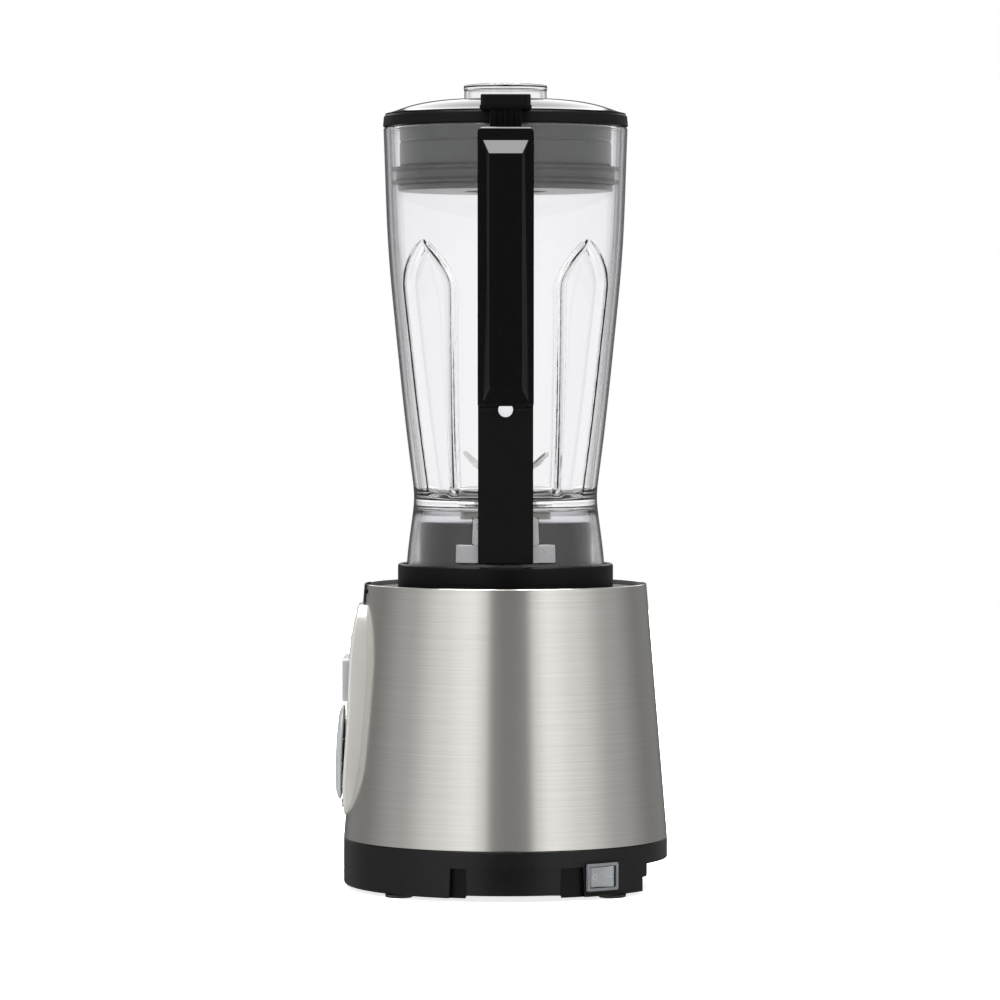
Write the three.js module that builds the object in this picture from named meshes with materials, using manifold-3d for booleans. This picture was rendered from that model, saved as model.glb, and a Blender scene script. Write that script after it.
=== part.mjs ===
// A countertop blender: motor base, clear jug with handle, lid and measuring cup.
// Millimetres, +Z up, control panel towards -Y, handle towards +X, feet on z = 0.
// Every piece is drawn about the drive axis (x = 0, y = 0); the whole is then shifted
// so that the origin is the middle of the bounding box's bottom.
import * as THREE from "three";
import { mergeVertices } from "three/addons/utils/BufferGeometryUtils.js";
import Module from "manifold-3d";

// ---- driving dimensions ------------------------------------------------------------

const GAP = 0.3; // between pieces that touch
const LARGE = 32; // facets round the big turned pieces
const MEDIUM = 16;
const SMALL = 12;
const ARC = 2; // straight pieces in each rounded corner

const SHELL_BOTTOM_R = 89.9; // the steel cone
const SHELL_TOP_R = 78.2;
const SHELL_BOTTOM_Z = 27.8;
const SHELL_TOP_Z = 168.5;
const SHEET = 1;

const HOUSING_BOTTOM_Z = 2;
const HOUSING_TOP_Z = 27.5;
const HOUSING_INNER_R = 84.5;
const HOUSING_FLOOR_Z = 4.5;
const NOTCH_TOP_Z = 18.4;
const FOOT_R = 7.7;
const FOOT_PLACE = 58; // each foot's distance from the axis in x and in y

const DECK_Z = 166; // top of the moulded deck
const DECK_UNDER_Z = 163.4;
const POST_PLACE = 46.7; // the deck's two screw posts, in x and in y

const COLLAR_R = 59.7; // the ring that the jug drops into
const COLLAR_TOP_Z = 179.6;
const PLINTH_R = 47.7;
const PLINTH_TOP_Z = 203;

const PANEL_MIDDLE_Z = 80; // widest level of the control panel
const PANEL_HALF_WIDTH = 31.4;
const PANEL_RISE = 82; // half height of the oval above that level
const PANEL_DROP = 41;
const PANEL_TOP_Z = 157.4;
const PANEL_BACK_Y = -70;
const PANEL_SKIN = 2.4;
const KEY_WIDTH = 15;
const KEY_HEIGHT = 24;
const KEY_PITCH = 17;
const KEY_Z = 116;
const KEY_FRONT_Y = -90.2;
const KNOB_R = 26.3;
const KNOB_RISE = 4.7;
const KNOB_Z = 74.7;
const KNOB_SEAT_Y = -89.5;
const KNOB_TILT = 0.042; // radians that the knob looks up
const LAMP_Z = 138;

const SWITCH_ANGLE = 0.63; // radians from +X towards +Y
const SWITCH_FLAT_R = 88; // distance of the switch's flat from the axis
const SWITCH_Z = 12.5;
const SWITCH_WIDTH = 21;
const SWITCH_HEIGHT = 15;

const SHAFT_R = 5;
const BORE_R = 5.3;
const STATOR_R = 50;
const STATOR_Z = [80, 120];
const MOTOR_BOLT_R = 44; // distance of the through bolts from the axis
const BRACKET_HALF = 60;

const JUG_WALL = 2.7;
const JUG_RIM_Z = 420.6;
const JUG_FLOOR_Z = 214.8;
const JUG_HOLE_R = 17.6;
const SKIRT_BOTTOM_Z = 171;
const RIB_DEPTH = 4.5;
const RIB_HALF = 11;

const LID_RIM_Z = [421.2, 427.6];
const PLUG_R = 58.6;
const PLUG_BOTTOM_Z = 385.5;
const CUP_R = 22.8;
const CUP_TOP_Z = 444.3;
const CUP_BOTTOM_Z = 398;

const HANDLE_HALF = 15; // half of the handle's width
const GRIP_TOP_X = 118; // outer face at the top and at the bottom
const GRIP_BOTTOM_X = 108;
const GRIP_TOP_Z = 416.5;
const GRIP_BOTTOM_Z = 267.7;
const GRIP_DEPTH = 17;
const COVER_DEPTH = 6;
const STRAP = 5.3;
const STRAP_BOTTOM_Z = 181.5;

// The jug's outside, from the skirt's edge up to the rim: [radius, height].
const JUG_OUTLINE = [
  [55.4, SKIRT_BOTTOM_Z],
  [54.4, 184],
  [51.9, 204],
  [50.8, 217.3],
  [51.7, 227],
  [54.7, 250.6],
  [60.2, 302],
  [65, 355],
  [67, 404],
  [67.6, JUG_RIM_Z],
];

// The control panel's face in side view: [y, height], a smooth curve through these.
const PANEL_FACE = [
  [-81.6, PANEL_TOP_Z],
  [-84.9, 143],
  [-87.4, 115],
  [-89.2, 81],
  [-90.5, 54],
  [-89.4, 38],
];

// The lid dome's upper face, from its edge inwards: [radius, height].
const DOME = [
  [66.6, 428.4],
  [64.1, 429],
  [58, 431.1],
  [51, 433.2],
  [43, 434.8],
  [34, 435.8],
  [24, 436.4],
];

// ---- materials -----------------------------------------------------------------------

function finish(color, roughness, metalness = 0, opacity = 1) {
  const look = { color, roughness, metalness, opacity, transparent: opacity < 1 };
  return new THREE.MeshStandardMaterial(look);
}

const LOOKS = {
  steel: () => finish(0xb9b6b1, 0.35, 1),
  bright: () => finish(0xd0cfcc, 0.2, 1),
  laminated: () => finish(0x6d6e72, 0.5, 1),
  copper: () => finish(0xb06a3c, 0.35, 1),
  satin: () => finish(0x1c1c1e, 0.55),
  gloss: () => finish(0x0a0a0c, 0.12),
  plug: () => finish(0x3c3d40, 0.6),
  rubber: () => finish(0x151515, 0.9),
  silver: () => finish(0xcfcbc6, 0.28, 0.4),
  key: () => finish(0xb9b8b8, 0.3),
  clear: () => finish(0xf2f5f7, 0.05, 0, 0.3),
  lamp: () => finish(0xdfe9f2, 0.2, 0, 0.7),
  board: () => finish(0x2c5a3a, 0.6),
  nylon: () => finish(0xe0ddd2, 0.5),
  carbon: () => finish(0x2a2a2c, 0.8),
};

// ---- geometry helpers ------------------------------------------------------------------

const wasm = await Module();
wasm.setup();

function toSolid(geometry) {
  const bare = geometry.index ? geometry.toNonIndexed() : geometry.clone();
  bare.deleteAttribute("normal");
  bare.deleteAttribute("uv");
  const merged = mergeVertices(bare, 1e-4);
  const mesh = new wasm.Mesh({
    numProp: 3,
    vertProperties: merged.attributes.position.array,
    triVerts: new Uint32Array(merged.index.array),
  });
  return new wasm.Manifold(mesh);
}

function toGeometry(solid) {
  const mesh = solid.getMesh();
  const positions = new THREE.BufferAttribute(mesh.vertProperties, 3);
  const geometry = new THREE.BufferGeometry();
  geometry.setAttribute("position", positions);
  geometry.setIndex(new THREE.BufferAttribute(mesh.triVerts, 1));
  return geometry;
}

function join(...geometries) {
  const solids = geometries.map(toSolid);
  return toGeometry(solids.reduce((whole, next) => whole.add(next)));
}

function cut(geometry, ...tools) {
  const solids = tools.map(toSolid);
  return toGeometry(solids.reduce((whole, next) => whole.subtract(next), toSolid(geometry)));
}

function common(first, second) {
  return toGeometry(toSolid(first).intersect(toSolid(second)));
}

// A turned solid about z. The profile is [radius, height] points, closed or axis to axis.
function turned(profile, facets = LARGE) {
  const points = profile.map(([r, z]) => new THREE.Vector2(r, z));
  if (THREE.ShapeUtils.area(points) < 0) points.reverse();
  if (points[0].x > 0) points.push(points[0].clone());
  return new THREE.LatheGeometry(points, facets).rotateX(Math.PI / 2);
}

function rod(r, low, high, facets = SMALL) {
  return turned([[0, low], [r, low], [r, high], [0, high]], facets);
}

function tube(inner, outer, low, high, facets = MEDIUM) {
  return turned([[inner, low], [outer, low], [outer, high], [inner, high]], facets);
}

function box(x0, x1, y0, y1, z0, z1) {
  const block = new THREE.BoxGeometry(x1 - x0, y1 - y0, z1 - z0);
  return block.translate((x0 + x1) / 2, (y0 + y1) / 2, (z0 + z1) / 2);
}

function extruded(shape, depth) {
  return new THREE.ExtrudeGeometry(shape, { depth, bevelEnabled: false, curveSegments: ARC });
}

// A shape drawn in x and z, extruded from y0 to y1.
function alongY(shape, y0, y1) {
  return extruded(shape, y1 - y0).rotateX(Math.PI / 2).translate(0, y1, 0);
}

// A shape drawn in y and z, extruded from x0 to x1.
function alongX(shape, x0, x1) {
  const turn = new THREE.Matrix4().makeBasis(
    new THREE.Vector3(0, 1, 0),
    new THREE.Vector3(0, 0, 1),
    new THREE.Vector3(1, 0, 0),
  );
  return extruded(shape, x1 - x0).applyMatrix4(turn).translate(x0, 0, 0);
}

// A shape drawn in x and y, extruded from z0 to z1.
function alongZ(shape, z0, z1) {
  return extruded(shape, z1 - z0).translate(0, 0, z0);
}

function polygon(points) {
  return new THREE.Shape(points.map(([u, v]) => new THREE.Vector2(u, v)));
}

// A polygon whose corners [u, v, radius] are rounded off.
function rounded(corners) {
  const shape = new THREE.Shape();
  corners.forEach(([u, v, radius = 0], i) => {
    const here = new THREE.Vector2(u, v);
    const before = new THREE.Vector2(...corners.at(i - 1).slice(0, 2));
    const after = new THREE.Vector2(...corners[(i + 1) % corners.length].slice(0, 2));
    const start = here.clone().add(before.sub(here).setLength(radius));
    const end = here.clone().add(after.sub(here).setLength(radius));
    if (i === 0) shape.moveTo(start.x, start.y);
    else shape.lineTo(start.x, start.y);
    if (radius > 0) shape.quadraticCurveTo(u, v, end.x, end.y);
  });
  shape.closePath();
  return shape;
}

function roundedRectangle(width, height, radius, u = 0, v = 0) {
  const a = width / 2;
  const b = height / 2;
  return rounded([
    [u - a, v - b, radius],
    [u + a, v - b, radius],
    [u + a, v + b, radius],
    [u - a, v + b, radius],
  ]);
}

function mirroredX(geometry) {
  return toGeometry(toSolid(geometry).mirror([1, 0, 0]));
}

// ---- the scene graph -------------------------------------------------------------------

const blender = new THREE.Group();
const machine = new THREE.Group();
const knobFrame = new THREE.Group();
const switchFrame = new THREE.Group();
blender.add(machine);
machine.add(knobFrame, switchFrame);

function add(name, look, geometry, parent = machine) {
  const mesh = new THREE.Mesh(geometry, LOOKS[look]());
  mesh.name = name;
  parent.add(mesh);
  return mesh;
}

// ---- motor base: casing ------------------------------------------------------------------

function shellRadius(z) {
  const share = (z - SHELL_BOTTOM_Z) / (SHELL_TOP_Z - SHELL_BOTTOM_Z);
  return SHELL_BOTTOM_R + share * (SHELL_TOP_R - SHELL_BOTTOM_R);
}

function shellSkin(low, high) {
  return turned([
    [shellRadius(low) - SHEET, low],
    [shellRadius(low), low],
    [shellRadius(high), high],
    [shellRadius(high) - SHEET, high],
  ]);
}

// The panel's outline seen from the front: two half ovals cut flat at the top.
function panelOutline(grow = 0) {
  const shape = new THREE.Shape();
  const steps = 12;
  const top = PANEL_TOP_Z + grow;
  const half = (z) => {
    const above = z > PANEL_MIDDLE_Z;
    const power = above ? 3 : 2.3;
    const reach = (above ? PANEL_RISE : PANEL_DROP) + grow;
    const share = Math.min(1, Math.abs(z - PANEL_MIDDLE_Z) / reach);
    return (PANEL_HALF_WIDTH + grow) * (1 - share ** power) ** (1 / power);
  };
  const low = PANEL_MIDDLE_Z - PANEL_DROP - grow;
  const side = [];
  for (let i = 1; i <= steps; i += 1) {
    const swing = (1 - Math.cos((Math.PI * i) / steps)) / 2;
    const z = low + (top - low) * swing;
    side.push([half(z), z]);
  }
  shape.moveTo(0, low);
  side.forEach(([x, z]) => shape.lineTo(x, z));
  side.reverse().forEach(([x, z]) => shape.lineTo(-x, z));
  shape.closePath();
  return shape;
}

// Everything behind the panel's face, moved back by inset.
function behindFace(inset) {
  const curve = new THREE.SplineCurve(PANEL_FACE.map(([y, z]) => new THREE.Vector2(y, z)));
  const points = curve.getPoints(8).map((p) => [p.x + inset, p.y]);
  const [top, bottom] = [points[0], points.at(-1)];
  const outline = [
    [-60, top[1] + 1],
    [top[0], top[1] + 1],
    ...points,
    [bottom[0], bottom[1] - 2],
    [-60, bottom[1] - 2],
  ];
  return alongX(polygon(outline), -40, 40);
}

const fasciaHalf = 18; // half the width of the deck's tongue, which fills the shell above the panel
add(
  "steel_shell",
  "steel",
  cut(
    shellSkin(SHELL_BOTTOM_Z, SHELL_TOP_Z),
    alongY(panelOutline(), -100, -40),
    box(-fasciaHalf, fasciaHalf, -100, -40, PANEL_TOP_Z - 1, SHELL_TOP_Z + 1),
  ),
);

const posts = [[POST_PLACE, -POST_PLACE], [-POST_PLACE, POST_PLACE]];

function bottomHousing() {
  const wall = turned([
    [0, HOUSING_BOTTOM_Z],
    [SHELL_BOTTOM_R - 1.2, HOUSING_BOTTOM_Z],
    [SHELL_BOTTOM_R, HOUSING_BOTTOM_Z + 1.2],
    [SHELL_BOTTOM_R, HOUSING_TOP_Z],
    [88.1, HOUSING_TOP_Z],
    [88.1, HOUSING_TOP_Z + 4.5],
    [0, HOUSING_TOP_Z + 4.5],
  ]);
  const cordWallZ = 19.5;
  const cordWallY = 73;
  const hollow = cut(
    rod(HOUSING_INNER_R, HOUSING_FLOOR_Z, HOUSING_TOP_Z + 6, LARGE),
    box(-90, 90, cordWallY, 100, 0, cordWallZ),
  );
  const insetRing = cut(
    tube(SHELL_BOTTOM_R - 2, 100, 0, NOTCH_TOP_Z, LARGE),
    box(-120, 0, -120, 120, -10, 40),
    box(0, 120, -120, -29.9, -10, 40),
    box(0, 120, 42, 120, -10, 40),
  );
  const side = [
    insetRing,
    box(79, 100, -29.9, -21.5, 0, NOTCH_TOP_Z),
    box(70, 100, 29.9, 42, 0, NOTCH_TOP_Z),
    box(78, 100, -21.5, 29.9, 0, 3.6),
  ];
  const rear = [box(-90, 90, 76.8, 100, 0, 17), box(-90, 90, 74.9, 100, 0, 10)];
  const flat = box(SWITCH_FLAT_R, 100, -25, 25, 3.2, 21.8).rotateZ(SWITCH_ANGLE);
  const window = box(75, 100, -9.9, 9.9, SWITCH_Z - 6.9, SWITCH_Z + 6.9).rotateZ(SWITCH_ANGLE);
  const inlet = rod(4.3, 60, 100).rotateX(-Math.PI / 2).translate(0, 0, 11);
  const corners = [[1, 1], [1, -1], [-1, 1], [-1, -1]];
  const stems = corners.map(([a, b]) => rod(2.6, 0, 6).translate(a * FOOT_PLACE, b * FOOT_PLACE, 0));
  const bosses = posts.map(([x, y]) => rod(7, 4, 9).translate(x, y, 0));
  const sinks = posts.map(([x, y]) => rod(4.4, 0, 7).translate(x, y, 0));
  const holes = posts.map(([x, y]) => rod(2.1, 0, 12).translate(x, y, 0));
  const pan = join(cut(wall, hollow), ...bosses);
  const openings = [...side, ...side.map(mirroredX), ...rear, flat, window, inlet];
  return cut(pan, ...openings, ...stems, ...sinks, ...holes);
}

add("bottom_housing", "satin", bottomHousing());

["front", "rear"].forEach((name, i) => {
  const screw = join(rod(4, 4.4, 6.7, 12), rod(1.6, 6.5, 24, 12));
  add("base_screw_" + name, "bright", screw).position.set(...posts[i], 0);
});

for (const [name, a, b] of [
  ["rear_right", 1, 1],
  ["front_right", 1, -1],
  ["rear_left", -1, 1],
  ["front_left", -1, -1],
]) {
  const foot = turned(
    [
      [0, 0],
      [FOOT_R - 0.5, 0],
      [FOOT_R, 0.5],
      [FOOT_R, HOUSING_BOTTOM_Z - GAP],
      [2.3, HOUSING_BOTTOM_Z - GAP],
      [2.3, 6],
      [0, 6],
    ],
    16,
  );
  add("foot_" + name, "rubber", foot).position.set(a * FOOT_PLACE, b * FOOT_PLACE, 0);
}

function topDeck() {
  const plate = tube(38, 77, DECK_UNDER_Z, DECK_Z, LARGE);
  const skirt = tube(74.2, 76.6, 152, DECK_UNDER_Z + 0.5, LARGE);
  const columns = posts.map(([x, y]) => rod(5, 9.3, DECK_UNDER_Z + 1).translate(x, y, 0));
  const pilots = posts.map(([x, y]) => rod(1.9, 9, 30).translate(x, y, 0));
  const front = box(-36, 36, -100, -60, 140, DECK_UNDER_Z - 0.2);
  const half = fasciaHalf - GAP;
  const tongue = common(
    shellSkin(PANEL_TOP_Z + GAP, SHELL_TOP_Z),
    box(-half, half, -100, -40, 100, 200),
  );
  const bridge = box(-half, half, -77.6, -70, DECK_UNDER_Z, DECK_Z);
  return join(cut(join(plate, skirt, ...columns), front, ...pilots), tongue, bridge);
}

add("top_deck", "satin", topDeck());

add(
  "jug_seat",
  "satin",
  turned([
    [18, 177.5],
    [30, 177.5],
    [30, PLINTH_TOP_Z - 2.5],
    [PLINTH_R - 2.5, PLINTH_TOP_Z - 2.5],
    [PLINTH_R - 2.5, DECK_Z + GAP],
    [COLLAR_R, DECK_Z + GAP],
    [COLLAR_R, COLLAR_TOP_Z - 1],
    [COLLAR_R - 0.8, COLLAR_TOP_Z],
    [56.1, COLLAR_TOP_Z],
    [56.1, DECK_Z + 3],
    [PLINTH_R, DECK_Z + 3],
    [PLINTH_R, PLINTH_TOP_Z],
    [27.5, PLINTH_TOP_Z],
    [27.5, 180],
    [18, 180],
  ]),
);

const inlet = turned(
  [[2.9, 66], [4, 66], [4, 77.1], [5.6, 77.1], [5.6, 78.6], [2.9, 78.6]],
  SMALL,
);
add("cord_inlet", "rubber", inlet.rotateX(-Math.PI / 2).translate(0, 0, 11));

// ---- control panel ---------------------------------------------------------------------

const keyNames = ["low", "pulse", "high"];
const keyX = (i) => (i - 1) * KEY_PITCH;

function controlPanel() {
  const outside = common(alongY(panelOutline(-GAP), -100, PANEL_BACK_Y), behindFace(0));
  const inside = common(
    alongY(panelOutline(-GAP - PANEL_SKIN), -100, PANEL_BACK_Y + 5),
    behindFace(PANEL_SKIN),
  );
  const keyHoles = keyNames.map((_, i) => {
    const hole = roundedRectangle(KEY_WIDTH + 0.8, KEY_HEIGHT + 0.8, 2.9, keyX(i), KEY_Z);
    return alongY(hole, -100, -60);
  });
  const lampHole = alongY(roundedRectangle(9.8, 3.2, 1.6, 0, LAMP_Z), -100, -60);
  const shaftHole = rod(4.4, -20, 20)
    .rotateX(Math.PI / 2 - KNOB_TILT)
    .translate(0, KNOB_SEAT_Y, KNOB_Z);
  return cut(outside, inside, ...keyHoles, lampHole, shaftHole);
}

add("control_panel", "silver", controlPanel());

keyNames.forEach((name, i) => {
  const cap = alongY(roundedRectangle(KEY_WIDTH, KEY_HEIGHT, 2.5), KEY_FRONT_Y, -83);
  const flange = alongY(roundedRectangle(KEY_WIDTH - 2, KEY_HEIGHT + 4, 0), -83.4, -82.4);
  const stem = box(-2.5, 2.5, -83, -79.4, -2.5, 2.5);
  add("key_" + name, "key", join(cap, flange, stem)).position.set(keyX(i), 0, KEY_Z);
});

add(
  "indicator_lens",
  "lamp",
  alongY(roundedRectangle(9.2, 2.6, 1.3, 0, LAMP_Z), -85.9, -82.6),
);

function controlBoard() {
  const board = box(-23, 23, -75.4, -73.8, 60, 132);
  const contacts = keyNames.map((_, i) => {
    return box(keyX(i) - 3, keyX(i) + 3, -77.6, -75, KEY_Z - 3, KEY_Z + 3);
  });
  return join(board, ...contacts);
}

add("control_board", "board", controlBoard());

knobFrame.position.set(0, KNOB_SEAT_Y, KNOB_Z);
knobFrame.rotation.x = Math.PI / 2 - KNOB_TILT;

function speedKnob() {
  const dial = turned([
    [0, -11],
    [2.3, -11],
    [2.3, 0.5],
    [KNOB_R - 1, 0.5],
    [KNOB_R, 1.2],
    [KNOB_R - 0.3, 2],
    [22, 3.7],
    [12, 4.5],
    [0, KNOB_RISE],
  ]);
  const pointer = box(-0.9, 0.9, 12, 23, 3, 6);
  return cut(dial, pointer);
}

add("speed_knob", "key", speedKnob(), knobFrame);

const encoderCan = join(box(-6.5, 6.5, -6.5, 6.5, -13.2, -8), rod(3.7, -9, -2.8));
add("speed_encoder", "bright", cut(encoderCan, rod(2.6, -11.5, 0)), knobFrame);

// ---- power switch, in a frame whose +X looks out of its flat -----------------------------

switchFrame.rotation.z = SWITCH_ANGLE;

function switchBody() {
  const frontX = SWITCH_FLAT_R + GAP;
  const bezel = alongX(
    roundedRectangle(SWITCH_WIDTH, SWITCH_HEIGHT, 1, 0, SWITCH_Z),
    frontX,
    frontX + 1.6,
  );
  const can = box(73, frontX + 0.5, -9.5, 9.5, SWITCH_Z - 6.5, SWITCH_Z + 6.5);
  const pit = box(frontX - 6.5, 120, -8.8, 8.8, SWITCH_Z - 5.9, SWITCH_Z + 5.9);
  const blades = [-6, 0, 6].map((y) => box(68, 74, y - 0.4, y + 0.4, SWITCH_Z - 2, SWITCH_Z + 2));
  return join(cut(join(bezel, can), pit), ...blades);
}

add("power_switch_body", "satin", switchBody(), switchFrame);

// The rocker turns about a vertical line through its pivot; its face is a shallow V.
const rockerPivotX = SWITCH_FLAT_R - 2.5;
const rocker = polygon([
  [rockerPivotX - 2, -5],
  [rockerPivotX - 2, 5],
  [rockerPivotX + 4.4, 8],
  [rockerPivotX + 3.2, 0],
  [rockerPivotX + 4.4, -8],
]);
const rockerRest = -0.15; // radians: the off end is pressed in
add(
  "power_rocker",
  "clear",
  alongZ(rocker, SWITCH_Z - 5.6, SWITCH_Z + 5.6)
    .translate(-rockerPivotX, 0, 0)
    .rotateZ(rockerRest)
    .translate(rockerPivotX, 0, 0),
  switchFrame,
);

// ---- motor -------------------------------------------------------------------------------

function boltHoles(low, high) {
  return [1, -1].map((side) => rod(2.3, low - 1, high + 1, 12).translate(0, side * MOTOR_BOLT_R, 0));
}

function fieldStack() {
  const [low, high] = STATOR_Z;
  const ring = tube(24.3, STATOR_R, low, high);
  const slots = [];
  for (const a of [1, -1]) {
    for (const b of [1, -1]) {
      slots.push(box(-5.5, 5.5, -4.65, 4.65, low - 1, high + 1).translate(a * 32, b * 28.15, 0));
    }
  }
  return cut(ring, ...slots, ...boltHoles(low, high));
}

add("stator_core", "laminated", fieldStack());

for (const [name, start] of [["left", -37], ["right", 27]]) {
  const middle = (STATOR_Z[0] + STATOR_Z[1]) / 2;
  const loop = roundedRectangle(64.6, 58, 6, 0, middle);
  loop.holes.push(roundedRectangle(48, 41.6, 2, 0, middle));
  add("field_coil_" + name, "copper", alongX(loop, start, start + 10));
}

function bracket(low, high, hub) {
  const bars = [
    box(-BRACKET_HALF, BRACKET_HALF, -6, 6, low, high),
    box(-6, 6, -BRACKET_HALF, BRACKET_HALF, low, high),
  ];
  const middle = rod(11.3, low - 1, high + 1, MEDIUM);
  return join(cut(join(...bars), middle, ...boltHoles(low, high)), hub);
}

const lowerHub = turned([[0, 33], [15, 33], [15, 47], [11.3, 47], [11.3, 36], [0, 36]], MEDIUM);
add("motor_bracket_lower", "nylon", bracket(44, 47, lowerHub));
const upperHub = turned(
  [[11.3, 150], [15, 150], [15, 161], [7, 161], [7, 158.5], [11.3, 158.5]],
  MEDIUM,
);
add("motor_bracket_upper", "nylon", bracket(156, 159, upperHub));
add("bearing_lower", "bright", tube(BORE_R, 11, 38.5, 46));
add("bearing_upper", "bright", tube(BORE_R, 11, 150.6, 158.2));

add("motor_mount_ring", "rubber", tube(50.5, BRACKET_HALF, 159.3, DECK_UNDER_Z - GAP));

for (const [name, side] of [["front", -1], ["rear", 1]]) {
  const bolt = join(rod(2, 41, 160, 12), rod(3.5, 159.3, 162.3, 6));
  add("motor_bolt_" + name, "bright", bolt).position.y = side * MOTOR_BOLT_R;
  const body = join(box(-5.5, 5.5, 15, 36, 57.5, 70.5), box(-5.5, 5.5, 28, 36, 47.3, 58));
  const channel = box(-3.3, 3.3, 10, 33, 59.7, 68.3);
  const turn = side > 0 ? 0 : Math.PI;
  add("brush_holder_" + name, "nylon", cut(body, channel)).rotation.z = turn;
  add("carbon_brush_" + name, "carbon", box(-3, 3, 12.4, 28, 60, 68)).rotation.z = turn;
}

add("motor_shaft", "bright", rod(SHAFT_R, 37, 187.5));
add("commutator", "copper", tube(BORE_R, 12, 56, 70));
add(
  "armature",
  "laminated",
  turned(
    [[BORE_R, 72], [19, 72], [19, 80], [23.8, 80], [23.8, 120], [19, 120], [19, 128], [BORE_R, 128]],
    MEDIUM,
  ),
);

function coolingFan() {
  const hub = tube(BORE_R, 12, 133, 147);
  const disc = tube(10, 38, 133, 134.5);
  const blades = [];
  for (let i = 0; i < 9; i += 1) {
    blades.push(box(11, 37, -0.7, 0.7, 134, 147).rotateZ((i * 2 * Math.PI) / 9));
  }
  return join(hub, disc, ...blades);
}

add("cooling_fan", "nylon", coolingFan());

// ---- dog couplings between motor and blades ------------------------------------------------

const dogCount = 6;

function dogs(low, high, offset) {
  const half = 0.2;
  const shape = new THREE.Shape();
  shape.absarc(0, 0, 15.5, -half, half, false);
  shape.absarc(0, 0, 8.5, half, -half, true);
  shape.closePath();
  const teeth = [];
  for (let i = 0; i < dogCount; i += 1) {
    teeth.push(alongZ(shape, low, high).rotateZ(offset + (i * 2 * Math.PI) / dogCount));
  }
  return teeth;
}

add("drive_coupling", "rubber", join(tube(BORE_R, 16, 182, 188), ...dogs(187, 197, 0)));
add(
  "driven_coupling",
  "bright",
  join(tube(4.3, 16, 197.6, 203.5), ...dogs(188.6, 198, Math.PI / dogCount)),
);

// ---- blade unit ----------------------------------------------------------------------------

add(
  "blade_housing",
  "bright",
  turned(
    [
      [4.4, 204.5],
      [17.2, 204.5],
      [17.2, 216.9],
      [25, 216.9],
      [25, 218.2],
      [22, 219.4],
      [9.5, 220.8],
      [7.8, 225.6],
      [4.4, 225.6],
    ],
    MEDIUM,
  ),
);
add("blade_gasket", "rubber", tube(17.9, 24.5, JUG_FLOOR_Z + GAP, 216.6));
add("blade_retaining_nut", "nylon", tube(17.6, 25, 205, 211.2));
add("blade_shaft", "bright", rod(4, 198, 234));

function blade(side, tipHalf) {
  const half = side.map(([x, z]) => [x, z]);
  const upper = half.map(([x, z]) => [x, z + 1.5]).reverse();
  const left = half.map(([x, z]) => [-x, z]).reverse();
  const leftUpper = half.map(([x, z]) => [-x, z + 1.5]);
  const strip = alongY(polygon([...left, ...half, ...upper, ...leftUpper]), -10, 10);
  const reach = half.at(-1)[0];
  const plan = polygon([
    [-reach - 1, -tipHalf],
    [-6, -6.5],
    [6, -6.5],
    [reach + 1, tipHalf - 3],
    [reach + 1, tipHalf],
    [6, 6.5],
    [-6, 6.5],
    [-reach - 1, 3 - tipHalf],
  ]);
  return cut(common(strip, alongZ(plan, 210, 260)), rod(4.3, 210, 260));
}

const lowerBlade = blade([[9.5, 226.2], [15.5, 221.2], [28, 220.6]], 4);
const upperBlade = blade([[8, 228], [20, 234], [27, 240]], 4);
add("blade_lower", "bright", lowerBlade).rotation.z = Math.PI / 2;
add("blade_upper", "bright", upperBlade).rotation.z = 0.9;
const capNut = cut(join(rod(6.5, 229.8, 234.5, 6), rod(4.6, 234, 236.6)), rod(4.3, 229, 234.4));
add("blade_cap_nut", "bright", capNut);

// ---- jug -----------------------------------------------------------------------------------

function offsetOutline(offset) {
  return JUG_OUTLINE.map(([r, z]) => [r + offset, z]);
}

// The jug's outer radius at a height.
function jugRadius(z) {
  const i = JUG_OUTLINE.findIndex(([, level]) => level >= z);
  const [[r0, z0], [r1, z1]] = [JUG_OUTLINE[i - 1], JUG_OUTLINE[i]];
  return r0 + ((r1 - r0) * (z - z0)) / (z1 - z0);
}

// A band that stands out of the skirt, between two heights and two sides.
function skirtPad(low, high, half, rise) {
  const band = turned([
    [jugRadius(low) - 1, low],
    [jugRadius(low) + rise, low],
    [jugRadius(high) + rise, high],
    [jugRadius(high) - 1, high],
  ]);
  return common(band, box(20, 80, -half, half, low - 1, high + 1));
}

function jugBody() {
  const outside = offsetOutline(0);
  const inside = offsetOutline(-JUG_WALL)
    .filter(([, z]) => z > 225)
    .reverse();
  const skirtInside = offsetOutline(-JUG_WALL - 0.3)
    .filter(([, z]) => z < 205)
    .reverse();
  const wall = turned([
    ...outside,
    ...inside,
    [46.5, 219],
    [42, 216.4],
    [26, JUG_FLOOR_Z],
    [JUG_HOLE_R, JUG_FLOOR_Z],
    [JUG_HOLE_R, 211.5],
    [44, 211.5],
    ...skirtInside,
  ]);
  const ribLow = 218;
  const shoulder = 339;
  const ribs = [];
  const reach = [
    ...offsetOutline(-JUG_WALL + 0.5).filter(([, z]) => z > 216 && z < 405),
    ...offsetOutline(-JUG_WALL - RIB_DEPTH)
      .filter(([, z]) => z > 216 && z < 405)
      .reverse(),
  ];
  const zone = turned(reach);
  const arch = polygon([
    [-RIB_HALF, ribLow],
    [RIB_HALF, ribLow],
    [RIB_HALF, shoulder],
    [0, shoulder + 19],
    [-RIB_HALF, shoulder],
  ]);
  for (let i = 0; i < 4; i += 1) {
    const angle = Math.PI / 4 + (i * Math.PI) / 2;
    ribs.push(common(zone, alongX(arch, 30, 80).rotateZ(angle)));
  }
  return join(wall, ...ribs, skirtPad(191, 206, 17.5, 2), skirtPad(181.5, 191.5, 28, 1.2));
}

add("jug", "clear", jugBody());

// ---- handle ----------------------------------------------------------------------------------

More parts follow.
